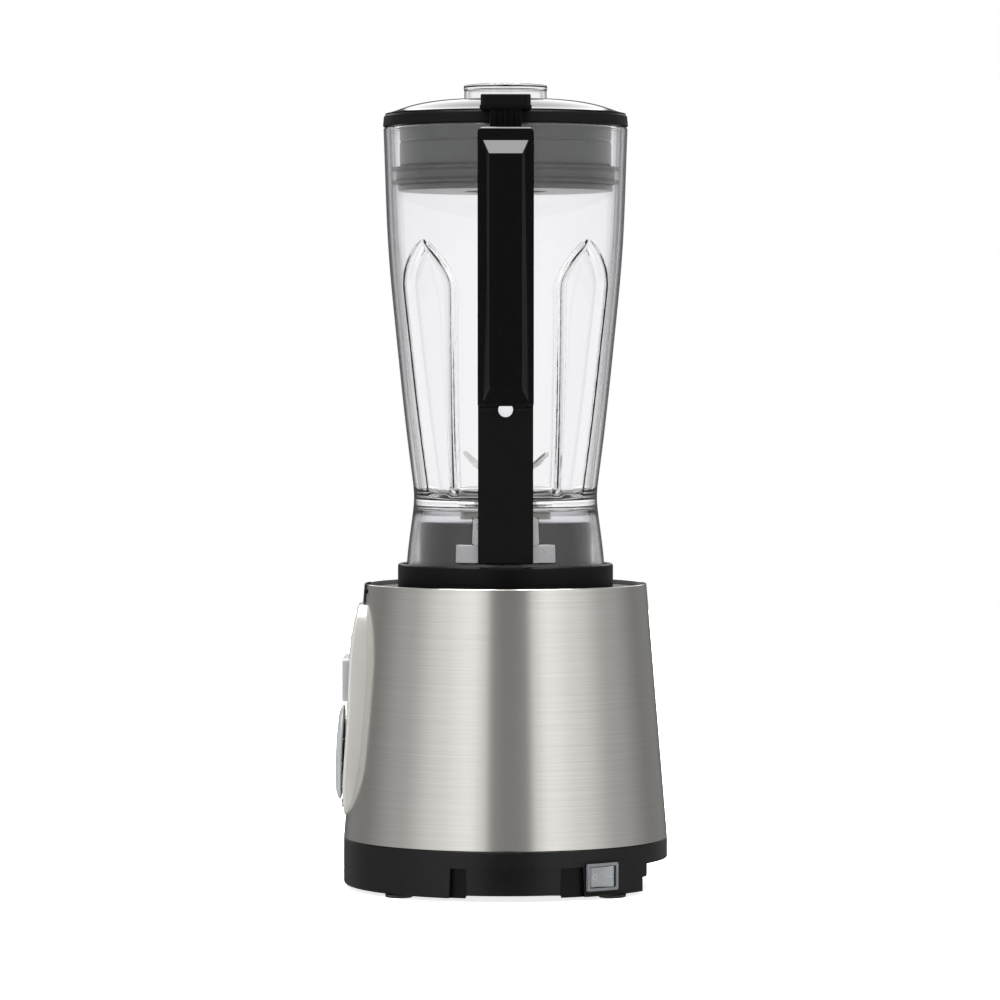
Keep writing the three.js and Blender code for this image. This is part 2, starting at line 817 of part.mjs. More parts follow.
// The grip's outer face at a height.
function gripX(z) {
  const share = (z - GRIP_BOTTOM_Z) / (GRIP_TOP_Z - GRIP_BOTTOM_Z);
  return GRIP_BOTTOM_X + share * (GRIP_TOP_X - GRIP_BOTTOM_X);
}

function handleFrame() {
  const coreX = (z) => gripX(z) - COVER_DEPTH - GAP;
  const strapX = (z) => jugRadius(z) + STRAP;
  const levels = [204, 217.3, 227, 250.6];
  const outline = rounded([
    [40, STRAP_BOTTOM_Z],
    [strapX(STRAP_BOTTOM_Z), STRAP_BOTTOM_Z],
    ...levels.map((z) => [strapX(z), z]),
    [strapX(266), 266, 3],
    [74, 271.5, 6],
    [coreX(GRIP_BOTTOM_Z) - 3, GRIP_BOTTOM_Z + 0.5],
    [coreX(GRIP_BOTTOM_Z), GRIP_BOTTOM_Z + 0.5],
    [coreX(409), 409, 3],
    [104, GRIP_TOP_Z - 0.5, 2],
    [40, GRIP_TOP_Z - 0.5],
  ]);
  const low = 287;
  const high = 400;
  const innerX = (z) => gripX(z) - GRIP_DEPTH;
  outline.holes.push(
    rounded([
      [strapX(low), low, 7],
      [innerX(low), low, 8],
      [innerX(high), high, 8],
      [strapX(high), high, 7],
      [strapX(355), 355],
      [strapX(302), 302],
    ]),
  );
  const body = alongY(outline, -HANDLE_HALF, HANDLE_HALF);
  const clearance = 0.35;
  const jugSpace = turned([
    [0, 100],
    [55.8, 100],
    ...offsetOutline(clearance),
    [67.9 + clearance, 500],
    [0, 500],
  ]);
  const bossSpace = skirtPad(190.6, 206.4, 20, 2 + clearance);
  const padSpace = skirtPad(181, 191.9, 20, 1.2 + clearance);
  const thumbHole = rod(4, 40, 80).rotateY(Math.PI / 2).translate(0, 0, 265.3);
  const screwHoles = coverScrewLevels.flatMap((z) => {
    const x = gripX(z);
    return [
      rod(3.4, x - 30, x - GRIP_DEPTH + 3).rotateY(Math.PI / 2).translate(0, 0, z),
      rod(1.8, x - 20, x).rotateY(Math.PI / 2).translate(0, 0, z),
    ];
  });
  return cut(body, jugSpace, bossSpace, padSpace, thumbHole, ...screwHoles);
}

const coverScrewLevels = [300, 386];

function coverOutline(inset) {
  const back = COVER_DEPTH;
  return rounded([
    [gripX(GRIP_BOTTOM_Z) - back, GRIP_BOTTOM_Z, 0],
    [gripX(GRIP_BOTTOM_Z) - inset, GRIP_BOTTOM_Z, 3],
    [gripX(407) - inset, 407, 2],
    [gripX(407) - 7, GRIP_TOP_Z, 2],
    [104.6, GRIP_TOP_Z, 0],
    [gripX(409) - back, 409, 3],
  ]);
}

function inlayOutline(low, high, near, far) {
  return polygon([
    [gripX(low) - far, low],
    [gripX(low) + near, low],
    [gripX(high) + near, high],
    [gripX(high) - far, high],
  ]);
}

function handleCover() {
  const body = alongY(coverOutline(0), -HANDLE_HALF, HANDLE_HALF);
  const pocket = alongY(inlayOutline(278, 398, 5, 2), -9, 9);
  const pilots = coverScrewLevels.map((z) => {
    const x = gripX(z);
    return rod(1.7, x - 12, x - 3.2).rotateY(Math.PI / 2).translate(0, 0, z);
  });
  return cut(body, pocket, ...pilots);
}

add("handle_frame", "satin", handleFrame());
add("handle_cover", "gloss", handleCover());
const inlay = alongY(inlayOutline(278 + GAP, 398 - GAP, -0.8, 2 - GAP), -8.7, 8.7);
add("handle_inlay", "gloss", inlay);

coverScrewLevels.forEach((z, i) => {
  const x = gripX(z);
  const head = rod(3, x - GRIP_DEPTH + 0.6, x - GRIP_DEPTH + 2.7, 12);
  const shank = rod(1.4, x - GRIP_DEPTH + 2.5, x - 3.6, 12);
  const screw = join(head, shank).rotateY(Math.PI / 2).translate(0, 0, z);
  add("handle_screw_" + ["lower", "upper"][i], "bright", screw);
});

// ---- lid -------------------------------------------------------------------------------------

const domeThickness = 2.2;
const domeUnder = DOME.slice(1)
  .map(([r, z]) => [r, z - domeThickness])
  .filter(([, z]) => z > LID_RIM_Z[1] + GAP)
  .reverse();
add(
  "lid_cover",
  "gloss",
  turned([
    [DOME[0][0], LID_RIM_Z[1] + GAP],
    ...DOME,
    [23.6, 436.4],
    [23.6, 433.9],
    ...domeUnder.slice(1),
    [60, LID_RIM_Z[1] + GAP],
  ]),
);
add(
  "lid_rim",
  "satin",
  turned([
    [59.2, LID_RIM_Z[0]],
    [67.9, LID_RIM_Z[0]],
    [67.4, LID_RIM_Z[1] - 1],
    [66.8, LID_RIM_Z[1]],
    [59.2, LID_RIM_Z[1]],
  ]),
);
add(
  "lid_plug",
  "plug",
  turned([
    [23.3, PLUG_BOTTOM_Z],
    [59.5, PLUG_BOTTOM_Z],
    [59.5, 388.4],
    [57.2, 388.4],
    [57.2, 399.8],
    [PLUG_R, 399.8],
    [PLUG_R, 427.2],
    [56.4, 427.2],
    [56.4, 388],
    [25.8, 388],
    [25.8, 433.5],
    [23.3, 433.5],
  ]),
);
add(
  "lid_gasket",
  "plug",
  turned([
    [57.5, 388.8],
    [63.3, 389.8],
    [62, 394],
    [63.3, 398.2],
    [57.5, 399.4],
  ]),
);

function lidTab() {
  const cap = alongZ(roundedRectangle(22, 27, 2, 73, 0), 428.7, 435.2);
  const flare = box(68.3, 83, -14, 14, 427.2, 429.5);
  const stem = box(68.3, 80, -8.5, 8.5, 417, 428);
  const ridges = [-6, 0, 6].map((y) => box(79, 80.8, y - 0.8, y + 0.8, 417.5, 428));
  const domeSpace = turned([
    [0, 400],
    [68.3, 400],
    [68.3, 428],
    [DOME[0][0] + GAP, DOME[0][1] + GAP],
    ...DOME.slice(1).map(([r, z]) => [r, z + GAP + 0.1]),
    [0, 437],
  ]);
  return cut(join(cap, flare, stem, ...ridges), domeSpace);
}

add("lid_tab", "satin", lidTab());

add(
  "measuring_cup",
  "clear",
  turned(
    [
      [0, 441.8],
      [20.6, 441.8],
      [20.6, CUP_BOTTOM_Z],
      [CUP_R, CUP_BOTTOM_Z],
      [CUP_R, 441.5],
      [CUP_R + 0.3, 441.8],
      [CUP_R + 0.3, CUP_TOP_Z],
      [0, CUP_TOP_Z],
    ],
    MEDIUM,
  ),
);

// ---- origin: the middle of the bounding box's bottom --------------------------------------------

const knobTipY = KNOB_SEAT_Y - KNOB_RISE * Math.cos(KNOB_TILT);
machine.position.set(-(gripX(407) - SHELL_BOTTOM_R) / 2, -(knobTipY + SHELL_BOTTOM_R) / 2, 0);

export default blender;
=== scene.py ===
"""A countertop blender: brushed steel motor base, clear jug, gloss handle and lid.

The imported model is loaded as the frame. Every piece here is drawn in millimetres about
the drive axis and then placed in the frame, so each one sits where its CAD node is.
"""
import math

import bmesh
import bpy
import numpy as np
from mathutils import Matrix, Vector


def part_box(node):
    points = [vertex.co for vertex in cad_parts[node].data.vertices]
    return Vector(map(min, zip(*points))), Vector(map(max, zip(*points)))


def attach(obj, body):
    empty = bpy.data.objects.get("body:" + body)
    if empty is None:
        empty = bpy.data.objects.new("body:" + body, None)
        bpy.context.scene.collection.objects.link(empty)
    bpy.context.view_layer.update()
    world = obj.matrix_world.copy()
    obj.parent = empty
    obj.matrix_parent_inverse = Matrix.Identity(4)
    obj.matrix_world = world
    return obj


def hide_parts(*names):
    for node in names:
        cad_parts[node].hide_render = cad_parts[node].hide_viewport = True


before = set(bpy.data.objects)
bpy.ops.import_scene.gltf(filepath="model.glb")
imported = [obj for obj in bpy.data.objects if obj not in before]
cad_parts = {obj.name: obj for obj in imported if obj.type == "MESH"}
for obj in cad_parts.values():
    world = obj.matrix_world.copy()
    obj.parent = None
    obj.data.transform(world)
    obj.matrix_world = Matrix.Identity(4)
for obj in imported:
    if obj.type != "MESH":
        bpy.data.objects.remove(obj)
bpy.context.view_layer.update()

scene = bpy.context.scene

# ---- the frame's drive axis ------------------------------------------

shaft_low, shaft_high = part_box("motor_shaft")
AXIS_X = (shaft_low.x + shaft_high.x) / 2
AXIS_Y = (shaft_low.y + shaft_high.y) / 2
PLACE = Matrix.Translation((AXIS_X, AXIS_Y, 0)) @ Matrix.Scale(0.001, 4)

# ---- camera ----------------------------------------------------------

camera_data = bpy.data.cameras.new("camera")
camera_data.lens = 177.6
camera_data.sensor_width = 36
camera_data.clip_end = 50
camera = bpy.data.objects.new("camera", camera_data)
scene.collection.objects.link(camera)
camera.location = (AXIS_X + 2.737, AXIS_Y - 0.00305, 0.2944)
camera.rotation_euler = (math.radians(90 - 1.67), 0, math.radians(90))
scene.camera = camera


# ---- mesh helpers (millimetres about the drive axis) -----------------


def mesh_of(points, faces):
    mesh = bpy.data.meshes.new("piece")
    mesh.from_pydata([tuple(p) for p in points], [], faces)
    mesh.update()
    return mesh


def fillet(corners, steps=4, closed=True):
    """Rounds each corner [u, v, radius] of an outline; a corner without a radius stays sharp."""
    out = []
    count = len(corners)
    for i, corner in enumerate(corners):
        radius = corner[2] if len(corner) > 2 else 0
        here = Vector(corner[:2])
        end = not closed and i in (0, count - 1)
        if radius == 0 or end:
            out.append(tuple(here))
            continue
        before = Vector(corners[i - 1][:2]) - here
        after = Vector(corners[(i + 1) % count][:2]) - here
        turn = before.angle(after)
        if turn > math.pi - 0.02:
            out.append(tuple(here))
            continue
        reach = min(radius / math.tan(turn / 2), before.length * 0.49, after.length * 0.49)
        bow = reach * math.tan(turn / 2)
        middle = (before.normalized() + after.normalized()).normalized()
        centre = here + middle * (bow / math.sin(turn / 2))
        start = here + before.normalized() * reach - centre
        stop = here + after.normalized() * reach - centre
        swing = start.angle_signed(stop)
        for k in range(steps + 1):
            spoke = start.copy()
            spoke.rotate(Matrix.Rotation(-swing * k / steps, 2))
            out.append(tuple(centre + spoke))
    return out


def smooth_curve(points, count):
    """A natural cubic curve through the points, resampled to count points."""
    p = np.array(points, float)
    t = np.concatenate([[0], np.cumsum(np.linalg.norm(np.diff(p, axis=0), axis=1))])
    n = len(p)
    h = np.diff(t)
    system = np.eye(n)
    right = np.zeros((n, p.shape[1]))
    for i in range(1, n - 1):
        system[i, i - 1 : i + 2] = [h[i - 1], 2 * (h[i - 1] + h[i]), h[i]]
        right[i] = 6 * ((p[i + 1] - p[i]) / h[i] - (p[i] - p[i - 1]) / h[i - 1])
    bend = np.linalg.solve(system, right)
    s = np.linspace(0, t[-1], count)
    k = np.clip(np.searchsorted(t, s, side="right") - 1, 0, n - 2)
    a = (t[k + 1] - s)[:, None]
    b = (s - t[k])[:, None]
    hk = h[k][:, None]
    curve = (bend[k] * a**3 + bend[k + 1] * b**3) / (6 * hk)
    curve += (p[k] / hk - bend[k] * hk / 6) * a
    curve += (p[k + 1] / hk - bend[k + 1] * hk / 6) * b
    return [tuple(row) for row in curve]


def turned(profile, count=192, closed=True):
    """Turns an outline [radius, height] about the vertical axis. Points on it become one."""
    points = []
    rings = []
    for radius, height in profile:
        if radius < 1e-4:
            rings.append([len(points)] * count)
            points.append((0, 0, height))
            continue
        rings.append(list(range(len(points), len(points) + count)))
        for k in range(count):
            angle = 2 * math.pi * k / count
            points.append((radius * math.cos(angle), radius * math.sin(angle), height))
    faces = []
    pairs = list(zip(rings, rings[1:]))
    if closed:
        pairs.append((rings[-1], rings[0]))
    for low, high in pairs:
        for k in range(count):
            after = (k + 1) % count
            face = list(dict.fromkeys([low[k], low[after], high[after], high[k]]))
            if len(face) > 2:
                faces.append(face)
    return tidy(mesh_of(points, faces))


def lofted(rings, caps=(), closed=False):
    """Joins rings of equal length by quads; caps numbers the rings that one face closes."""
    n = len(rings[0])
    points = [point for ring in rings for point in ring]
    faces = [list(range(cap * n, (cap + 1) * n)) for cap in caps]
    lows = list(range(0, len(points), n))
    highs = lows[1:] + lows[:1] if closed else lows[1:]
    for low, high in zip(lows, highs):
        for k in range(n):
            after = (k + 1) % n
            faces.append([low + k, low + after, high + after, high + k])
    return mesh_of(points, faces)


def tidy(mesh, weld=0.0005):
    """Welds doubles, unless weld is 0, and turns every face outwards."""
    bm = bmesh.new()
    bm.from_mesh(mesh)
    if weld:
        bmesh.ops.remove_doubles(bm, verts=bm.verts, dist=weld)
    bmesh.ops.recalc_face_normals(bm, faces=bm.faces)
    bm.to_mesh(mesh)
    bm.free()
    return mesh


def bevelled(mesh, width, angle=30, segments=3, keep=None):
    """Rounds the edges sharper than angle; keep(edge middle) picks which of them."""
    bm = bmesh.new()
    bm.from_mesh(mesh)
    edges = []
    for edge in bm.edges:
        if len(edge.link_faces) != 2 or edge.calc_face_angle() < math.radians(angle):
            continue
        middle = (edge.verts[0].co + edge.verts[1].co) / 2
        if keep is None or keep(middle):
            edges.append(edge)
    bmesh.ops.bevel(
        bm,
        geom=edges,
        offset=width,
        offset_type="OFFSET",
        segments=segments,
        profile=0.5,
        affect="EDGES",
        clamp_overlap=True,
    )
    bm.to_mesh(mesh)
    bm.free()
    return mesh


def prism(outline, low, high, axis="Z"):
    """An outline pushed straight from low to high. Z: outline is (x, y); Y: (x, z); X: (y, z)."""
    order = {"Z": (0, 1, 2), "Y": (0, 2, 1), "X": (1, 2, 0)}[axis]
    points = []
    for level in (low, high):
        for u, v in outline:
            point = [0, 0, 0]
            point[order[0]] = u
            point[order[1]] = v
            point[order[2]] = level
            points.append(tuple(point))
    n = len(outline)
    faces = [list(range(n)), list(range(n, 2 * n))]
    faces += [[k, (k + 1) % n, n + (k + 1) % n, n + k] for k in range(n)]
    return tidy(mesh_of(points, faces))


def block(x0, x1, y0, y1, z0, z1):
    return prism([(x0, y0), (x1, y0), (x1, y1), (x0, y1)], z0, z1)


def rectangle(width, height, radius, u=0, v=0, steps=5):
    """The outline of a rectangle about (u, v) with rounded corners."""
    a = width / 2
    b = height / 2
    corners = [[-a, -b], [a, -b], [a, b], [-a, b]]
    return [(u + x, v + y) for x, y in fillet([[*c, radius] for c in corners], steps)]


def moved(mesh, *matrices):
    for matrix in matrices:
        mesh.transform(matrix)
    if any(m.determinant() < 0 for m in matrices):
        mesh.flip_normals()
    return mesh


def merged(*meshes):
    """Several meshes as the loose parts of one."""
    bm = bmesh.new()
    for mesh in meshes:
        bm.from_mesh(mesh)
    out = bpy.data.meshes.new("piece")
    bm.to_mesh(out)
    bm.free()
    return out


def boolean(base, tool, operation="DIFFERENCE"):
    """Cuts or joins two closed meshes."""
    holder = bpy.data.objects.new("holder", base)
    cutter = bpy.data.objects.new("cutter", tool)
    for obj in (holder, cutter):
        scene.collection.objects.link(obj)
    modifier = holder.modifiers.new("boolean", "BOOLEAN")
    modifier.object = cutter
    modifier.operation = operation
    modifier.solver = "EXACT"
    bpy.context.view_layer.update()
    graph = bpy.context.evaluated_depsgraph_get()
    out = bpy.data.meshes.new_from_object(holder.evaluated_get(graph))
    bpy.data.objects.remove(holder)
    bpy.data.objects.remove(cutter)
    return out


def cut(base, *tools):
    """Cuts the tools out of a mesh, one after another."""
    for tool in tools:
        base = boolean(base, tool)
    return base


def piece(name, mesh, body, look, nodes=(), sharp=32):
    """Places a finished mesh in the frame: it rides on the body and stands for the nodes."""
    mesh.transform(PLACE)
    mesh.name = name
    mesh.shade_smooth()
    mesh.set_sharp_from_angle(angle=math.radians(sharp))
    mesh.materials.clear()
    mesh.materials.append(look)
    obj = bpy.data.objects.new(name, mesh)
    scene.collection.objects.link(obj)
    level = obj.modifiers.new("flat faces stay flat", "WEIGHTED_NORMAL")
    level.keep_sharp = True
    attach(obj, body)
    if nodes:
        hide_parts(*nodes)
    return obj


def fine(node, mesh, body, look, slot, sharp=32):
    """A piece that takes the place of one CAD node."""
    return piece(node + "_fine", mesh, body, look, [node], sharp)


# ---- materials -------------------------------------------------------


class Paint:
    """A principled material with its texture nodes, in object coordinates (metres)."""

    def __init__(self, name, colour, roughness, metallic=0.0, **sockets):
        self.material = bpy.data.materials.new(name)
        self.material.use_nodes = True
        self.tree = self.material.node_tree
        self.shader = self.tree.nodes["Principled BSDF"]
        self.set("Base Color", (*colour, 1))
        self.set("Roughness", roughness)
        self.set("Metallic", metallic)
        for socket, value in sockets.items():
            self.set(socket.replace("_", " "), value)
        self.colour = colour
        self.roughness = roughness
        self.place = self.add("ShaderNodeTexCoord").outputs["Object"]
        self.height = None

    def set(self, socket, value):
        self.shader.inputs[socket].default_value = value

    def add(self, kind, **values):
        node = self.tree.nodes.new(kind)
        for key, value in values.items():
            setattr(node, key, value)
        return node

    def link(self, output, target):
        self.tree.links.new(output, target)

    def scaled(self, x, y, z, turn=(0, 0, 0)):
        node = self.add("ShaderNodeMapping")
        node.inputs["Scale"].default_value = (x, y, z)
        node.inputs["Rotation"].default_value = turn
        self.link(self.place, node.inputs["Vector"])
        return node.outputs["Vector"]

    def noise(self, scale, detail=3.0, where=None):
        node = self.add("ShaderNodeTexNoise")
        node.inputs["Scale"].default_value = scale
        node.inputs["Detail"].default_value = detail
        self.link(where or self.place, node.inputs["Vector"])
        return node.outputs["Fac"]

    def ranged(self, fac, low, high, start=0.3, stop=0.7):
        node = self.add("ShaderNodeMapRange")
        node.inputs["From Min"].default_value = start
        node.inputs["From Max"].default_value = stop
        node.inputs["To Min"].default_value = low
        node.inputs["To Max"].default_value = high
        self.link(fac, node.inputs["Value"])
        return node.outputs["Result"]

    def mixed(self, fac, first, second):
        node = self.add("ShaderNodeMix", data_type="RGBA")
        node.inputs["A"].default_value = (*first, 1)
        node.inputs["B"].default_value = (*second, 1)
        self.link(fac, node.inputs["Factor"])
        return node.outputs["Result"]

    def mottle(self, scale, amount):
        """Uneven colour: the base colour drifts darker and lighter by amount."""
        dark = tuple(c * (1 - amount) for c in self.colour)
        light = tuple(min(1, c * (1 + amount)) for c in self.colour)
        fac = self.ranged(self.noise(scale, 4), 0, 1)
        self.link(self.mixed(fac, dark, light), self.shader.inputs["Base Color"])
        return self

    def scuff(self, scale, amount):
        """Uneven roughness round the material's own."""
        fac = self.noise(scale, 5)
        low = max(0.0, self.roughness - amount)
        result = self.ranged(fac, low, self.roughness + amount)
        self.link(result, self.shader.inputs["Roughness"])
        return self

    def bump(self, fac, distance, strength=1.0):
        node = self.add("ShaderNodeBump")
        node.inputs["Distance"].default_value = distance
        node.inputs["Strength"].default_value = strength
        self.link(fac, node.inputs["Height"])
        if self.height is not None:
            self.link(self.height, node.inputs["Normal"])
        self.height = node.outputs["Normal"]
        self.link(self.height, self.shader.inputs["Normal"])
        return self

    def grain(self, scale, distance, detail=3.0):
        return self.bump(self.noise(scale, detail), distance)

    def wires(self, scale, distortion, where):
        """Level bands, such as stacked sheets or wound wire."""
        node = self.add("ShaderNodeTexWave", wave_type="BANDS", bands_direction="Z")
        node.inputs["Scale"].default_value = scale
        node.inputs["Distortion"].default_value = distortion
        self.link(where, node.inputs["Vector"])
        return node.outputs["Fac"]


def brushed_steel():
    """Level hairlines; the turned highlight stretches reflections up and down the shell."""
    paint = Paint("brushed_steel", (0.62, 0.605, 0.58), 0.27, 1.0, Anisotropic=0.9)
    paint.set("Anisotropic Rotation", 0.25)
    strokes = paint.noise(1.0, 2, paint.scaled(12, 12, 2200))
    bands = paint.noise(1.0, 2, paint.scaled(8, 8, 1100))
    dark, light = (0.645, 0.628, 0.604), (0.7, 0.682, 0.656)
    colour = paint.mixed(paint.ranged(strokes, 0, 1), dark, light)
    paint.link(colour, paint.shader.inputs["Base Color"])
    paint.link(paint.ranged(bands, 0.262, 0.27), paint.shader.inputs["Roughness"])
    tangent = paint.add("ShaderNodeTangent", direction_type="RADIAL", axis="Z")
    paint.link(tangent.outputs["Tangent"], paint.shader.inputs["Tangent"])
    paint.bump(strokes, 0.0000005, 0.03)
    return paint.material


def plain_metal(name, colour, roughness, scale=900):
    paint = Paint(name, colour, roughness, 1.0)
    paint.mottle(scale / 5, 0.06).scuff(scale, 0.08)
    paint.grain(scale * 2, 0.000015)
    return paint.material


def moulded(name, colour, roughness, texture=0.00001, scale=1800, drift=0.05, **sockets):
    paint = Paint(name, colour, roughness, 0.0, **sockets)
    paint.mottle(60, drift).scuff(220, 0.03)
    paint.grain(scale, texture)
    paint.grain(30, 0.00004, 1)
    return paint.material


def laminated():
    paint = Paint("laminated_steel", (0.3, 0.3, 0.31), 0.45, 1.0)
    paint.bump(paint.wires(320, 0.6, paint.place), 0.0001)
    paint.mottle(90, 0.2).scuff(300, 0.1)
    return paint.material


def wound_copper():
    paint = Paint("wound_copper", (0.72, 0.3, 0.12), 0.3, 1.0, Coat_Weight=0.6)
    paint.bump(paint.wires(260, 1.2, paint.scaled(1, 1, 1, (0.35, 0.2, 0))), 0.0002)
    paint.mottle(70, 0.18).scuff(400, 0.08)
    return paint.material


def clear(name, edge, roughness, tint=(1, 1, 1), ripple=0.8):
    """Clear moulded plastic, faintly rippled; its colour is painted darker where it is seen along
    its surface, painted shade for the dark outlines at its edges.
    """
    paint = Paint(name, tint, roughness, 0.0, Transmission_Weight=1.0, IOR=1.5)
    # The base colour runs from tint to edge as the surface turns away from view: painted shade at
    # the outlines.
    facing = paint.add("ShaderNodeLayerWeight")
    facing.inputs["Blend"].default_value = 0.22
    fac = paint.ranged(facing.outputs["Facing"], 0, 1, 0.28, 0.5)
    paint.link(paint.mixed(fac, tint, edge), paint.shader.inputs["Base Color"])
    paint.scuff(500, roughness * ripple)
    paint.grain(45, 0.00003, 1)
    return paint.material


LOOKS = {
    "steel": brushed_steel(),
    "bright": plain_metal("bright_steel", (0.72, 0.71, 0.69), 0.2),
    "blade": plain_metal("ground_blade_steel", (0.66, 0.66, 0.65), 0.16, 500),
    "stack": laminated(),
    "copper": wound_copper(),
    "satin": moulded("satin_black", (0.0026, 0.0026, 0.0028), 0.38, Specular_IOR_Level=0.12),
    "housing": moulded(
        "moulded_black", (0.003, 0.003, 0.0032), 0.3, 0.00001, Specular_IOR_Level=0.26
    ),
    "gloss": moulded(
        "gloss_black", (0.0015, 0.0015, 0.0017), 0.06, 0.000002, 900, Specular_IOR_Level=0.32
    ),
    "plug": moulded("plug_grey", (0.09, 0.094, 0.095), 0.34, 0.0000005, Specular_IOR_Level=0.35),
    "bezel": moulded("switch_grey", (0.085, 0.09, 0.095), 0.3, 0.000004),
    "gasket": moulded("gasket_grey", (0.06, 0.062, 0.064), 0.5, 0.000004),
    "rubber": moulded("black_rubber", (0.014, 0.014, 0.014), 0.75, 0.00003),
    "silver": moulded(
        "silver_plastic",
        (0.39, 0.38, 0.365),
        0.24,
        0.000002,
        2600,
        0.02,
        Metallic=0.4,
        Coat_Weight=0.3,
    ),
    "key": moulded("light_grey_plastic", (0.215, 0.22, 0.225), 0.3, 0.000003, 1800, 0.012),
    "mark": moulded("mark_grey", (0.06, 0.06, 0.065), 0.5),
    "lamp": moulded("lamp_lens", (0.75, 0.78, 0.8), 0.12, Transmission_Weight=0.5),
    "board": moulded("green_board", (0.015, 0.11, 0.05), 0.4),
    "nylon": moulded("pale_nylon", (0.62, 0.58, 0.48), 0.45),
    "carbon": moulded("carbon", (0.02, 0.02, 0.021), 0.6, 0.00003),
    # In the clear looks, here and for the cup, the second colour is the painted shade at their
    # edges.
    "jug": clear("clear_jug", (0.02, 0.021, 0.026), 0.015, (0.985, 0.985, 0.99), 0.4),
    "frosted": clear("frosted_skirt", (0.1, 0.1, 0.11), 0.13, (0.84, 0.84, 0.87), 0.08),
    "pad": moulded(
        "frosted_pad", (0.36, 0.36, 0.375), 0.3, 0.000002, Transmission_Weight=0.5, IOR=1.5
    ),
    "cup": clear("clear_cup", (0.12, 0.125, 0.13), 0.02),
    "rocker": moulded(
        "clear_grey", (0.18, 0.19, 0.2), 0.14, 0.000003, Transmission_Weight=0.25, IOR=1.49
    ),
}

# The CAD nodes that stay visible take the look of what they are made of.
CAD_LOOKS = {
    "brushed_steel": "steel",
    "bright_steel": "bright",
    "laminated_steel": "stack",
    "copper": "copper",
    "satin_black": "satin",
    "gloss_black": "gloss",
    "plug_grey": "plug",
    "black_rubber": "rubber",
    "silver_plastic": "silver",
    "light_grey_plastic": "key",
    "clear_plastic": "cup",
    "clear_grey_plastic": "rocker",
    "lamp_lens": "lamp",
    "green_board": "board",
    "pale_nylon": "nylon",
    "carbon": "carbon",
}
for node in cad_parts.values():
    node.data.shade_smooth()
    for material_slot in node.material_slots:
        known = material_slot.material.name.split(".")[0] if material_slot.material else ""
        material_slot.material = LOOKS[CAD_LOOKS.get(known, "satin")]

# ---- studio ----------------------------------------------------------


# (position, brightness) round the object: 0 is the camera's side, 1 is the far side.
AROUND = [
    (0.0, 0.13),
    (0.075, 0.15),
    (0.105, 0.85),
    (0.17, 1.22),
    (0.3, 1.0),
    (0.48, 0.56),
    (0.7, 0.3),
    (0.82, 0.3),
    (0.93, 0.16),
    (1.0, 0.14),
]
# (position, brightness) from straight below to straight above.
UPWARDS = [(0.0, 0.75), (0.5, 0.8), (0.62, 1.0), (0.8, 0.9), (1.0, 0.7)]
GAP_TURN = 0.055
REAR_BOX = 2.2
OVERHEAD_BOX = 13.0
SEEN_THROUGH = (0.915, 0.918, 0.93, 1)


def studio():
    """White all round for what is seen directly or through the clear pieces; for reflections
    and shading, soft boxes stand to both sides of the camera with a gap between them."""
    world = bpy.data.worlds.new("studio")
    world.use_nodes = True
    scene.world = world
    tree = world.node_tree
    add = tree.nodes.new
    link = tree.links.new

    def feed(sockets, values):
        for socket, value in zip(sockets, values):
            if hasattr(value, "is_linked"):
                link(value, socket)
            else:
                socket.default_value = value

    def calc(operation, *values, clamp=False):
        node = add("ShaderNodeMath")
        node.operation = operation
        node.use_clamp = clamp
        feed(node.inputs, values)
        return node.outputs[0]

    def mix(first, second, factor=1, blend="MIX"):
        node = add("ShaderNodeMix")
        node.data_type = "RGBA"
        node.blend_type = blend
        feed([node.inputs[socket] for socket in ("Factor", "A", "B")], (factor, first, second))
        return node.outputs["Result"]

    def shades(where, stops, blue=1.0, ease_stops="LINEAR"):
        node = add("ShaderNodeValToRGB")
        node.color_ramp.interpolation = ease_stops
        elements = node.color_ramp.elements
        while len(elements) < len(stops):
            elements.new(0.5)
        for element, (at, value) in zip(elements, stops):
            element.position = at
            element.color = (value, value, value * blue, 1)
        link(where, node.inputs[0])
        return node.outputs[0]

    split = add("ShaderNodeSeparateXYZ")
    link(add("ShaderNodeTexCoord").outputs["Generated"], split.inputs[0])
    east, north, up = split.outputs
    turn = calc("ABSOLUTE", calc("SUBTRACT", calc("ARCTAN2", north, east), GAP_TURN))
    turn = calc("DIVIDE", turn, math.pi)
    lift = calc("ADD", calc("MULTIPLY", up, 0.5), 0.5)
    sides = shades(turn, AROUND, 0.985, "EASE")
    boxes = mix(sides, shades(lift, UPWARDS), blend="MULTIPLY")

    # A box behind and above the object, and one straight overhead, for outer surfaces only.
    path = add("ShaderNodeLightPath").outputs
    low_edge = calc("SUBTRACT", calc("MULTIPLY", up, 16.0), 3.2, clamp=True)
    top_edge = calc("SUBTRACT", 6.2, calc("MULTIPLY", up, 9.0), clamp=True)
    side_edge = calc("MULTIPLY", calc("SUBTRACT", turn, 0.78), 9.0, clamp=True)
    over_edge = calc("MULTIPLY", calc("SUBTRACT", up, 0.86), 30.0, clamp=True)
    rear_box = calc("MULTIPLY", calc("MULTIPLY", low_edge, top_edge), side_edge)
    rear_box = calc("MULTIPLY", rear_box, REAR_BOX)
    extra = calc("ADD", rear_box, calc("MULTIPLY", over_edge, OVERHEAD_BOX))
    extra = calc("MULTIPLY", extra, calc("LESS_THAN", path["Transmission Depth"], 0.5))
    lit = mix(boxes, extra, blend="ADD")

    white = mix(SEEN_THROUGH, (1, 1, 1, 1), path["Is Camera Ray"])
    seen = calc("MAXIMUM", path["Is Camera Ray"], path["Is Transmission Ray"])
    link(mix(lit, white, seen), tree.nodes["Background"].inputs["Color"])


studio()

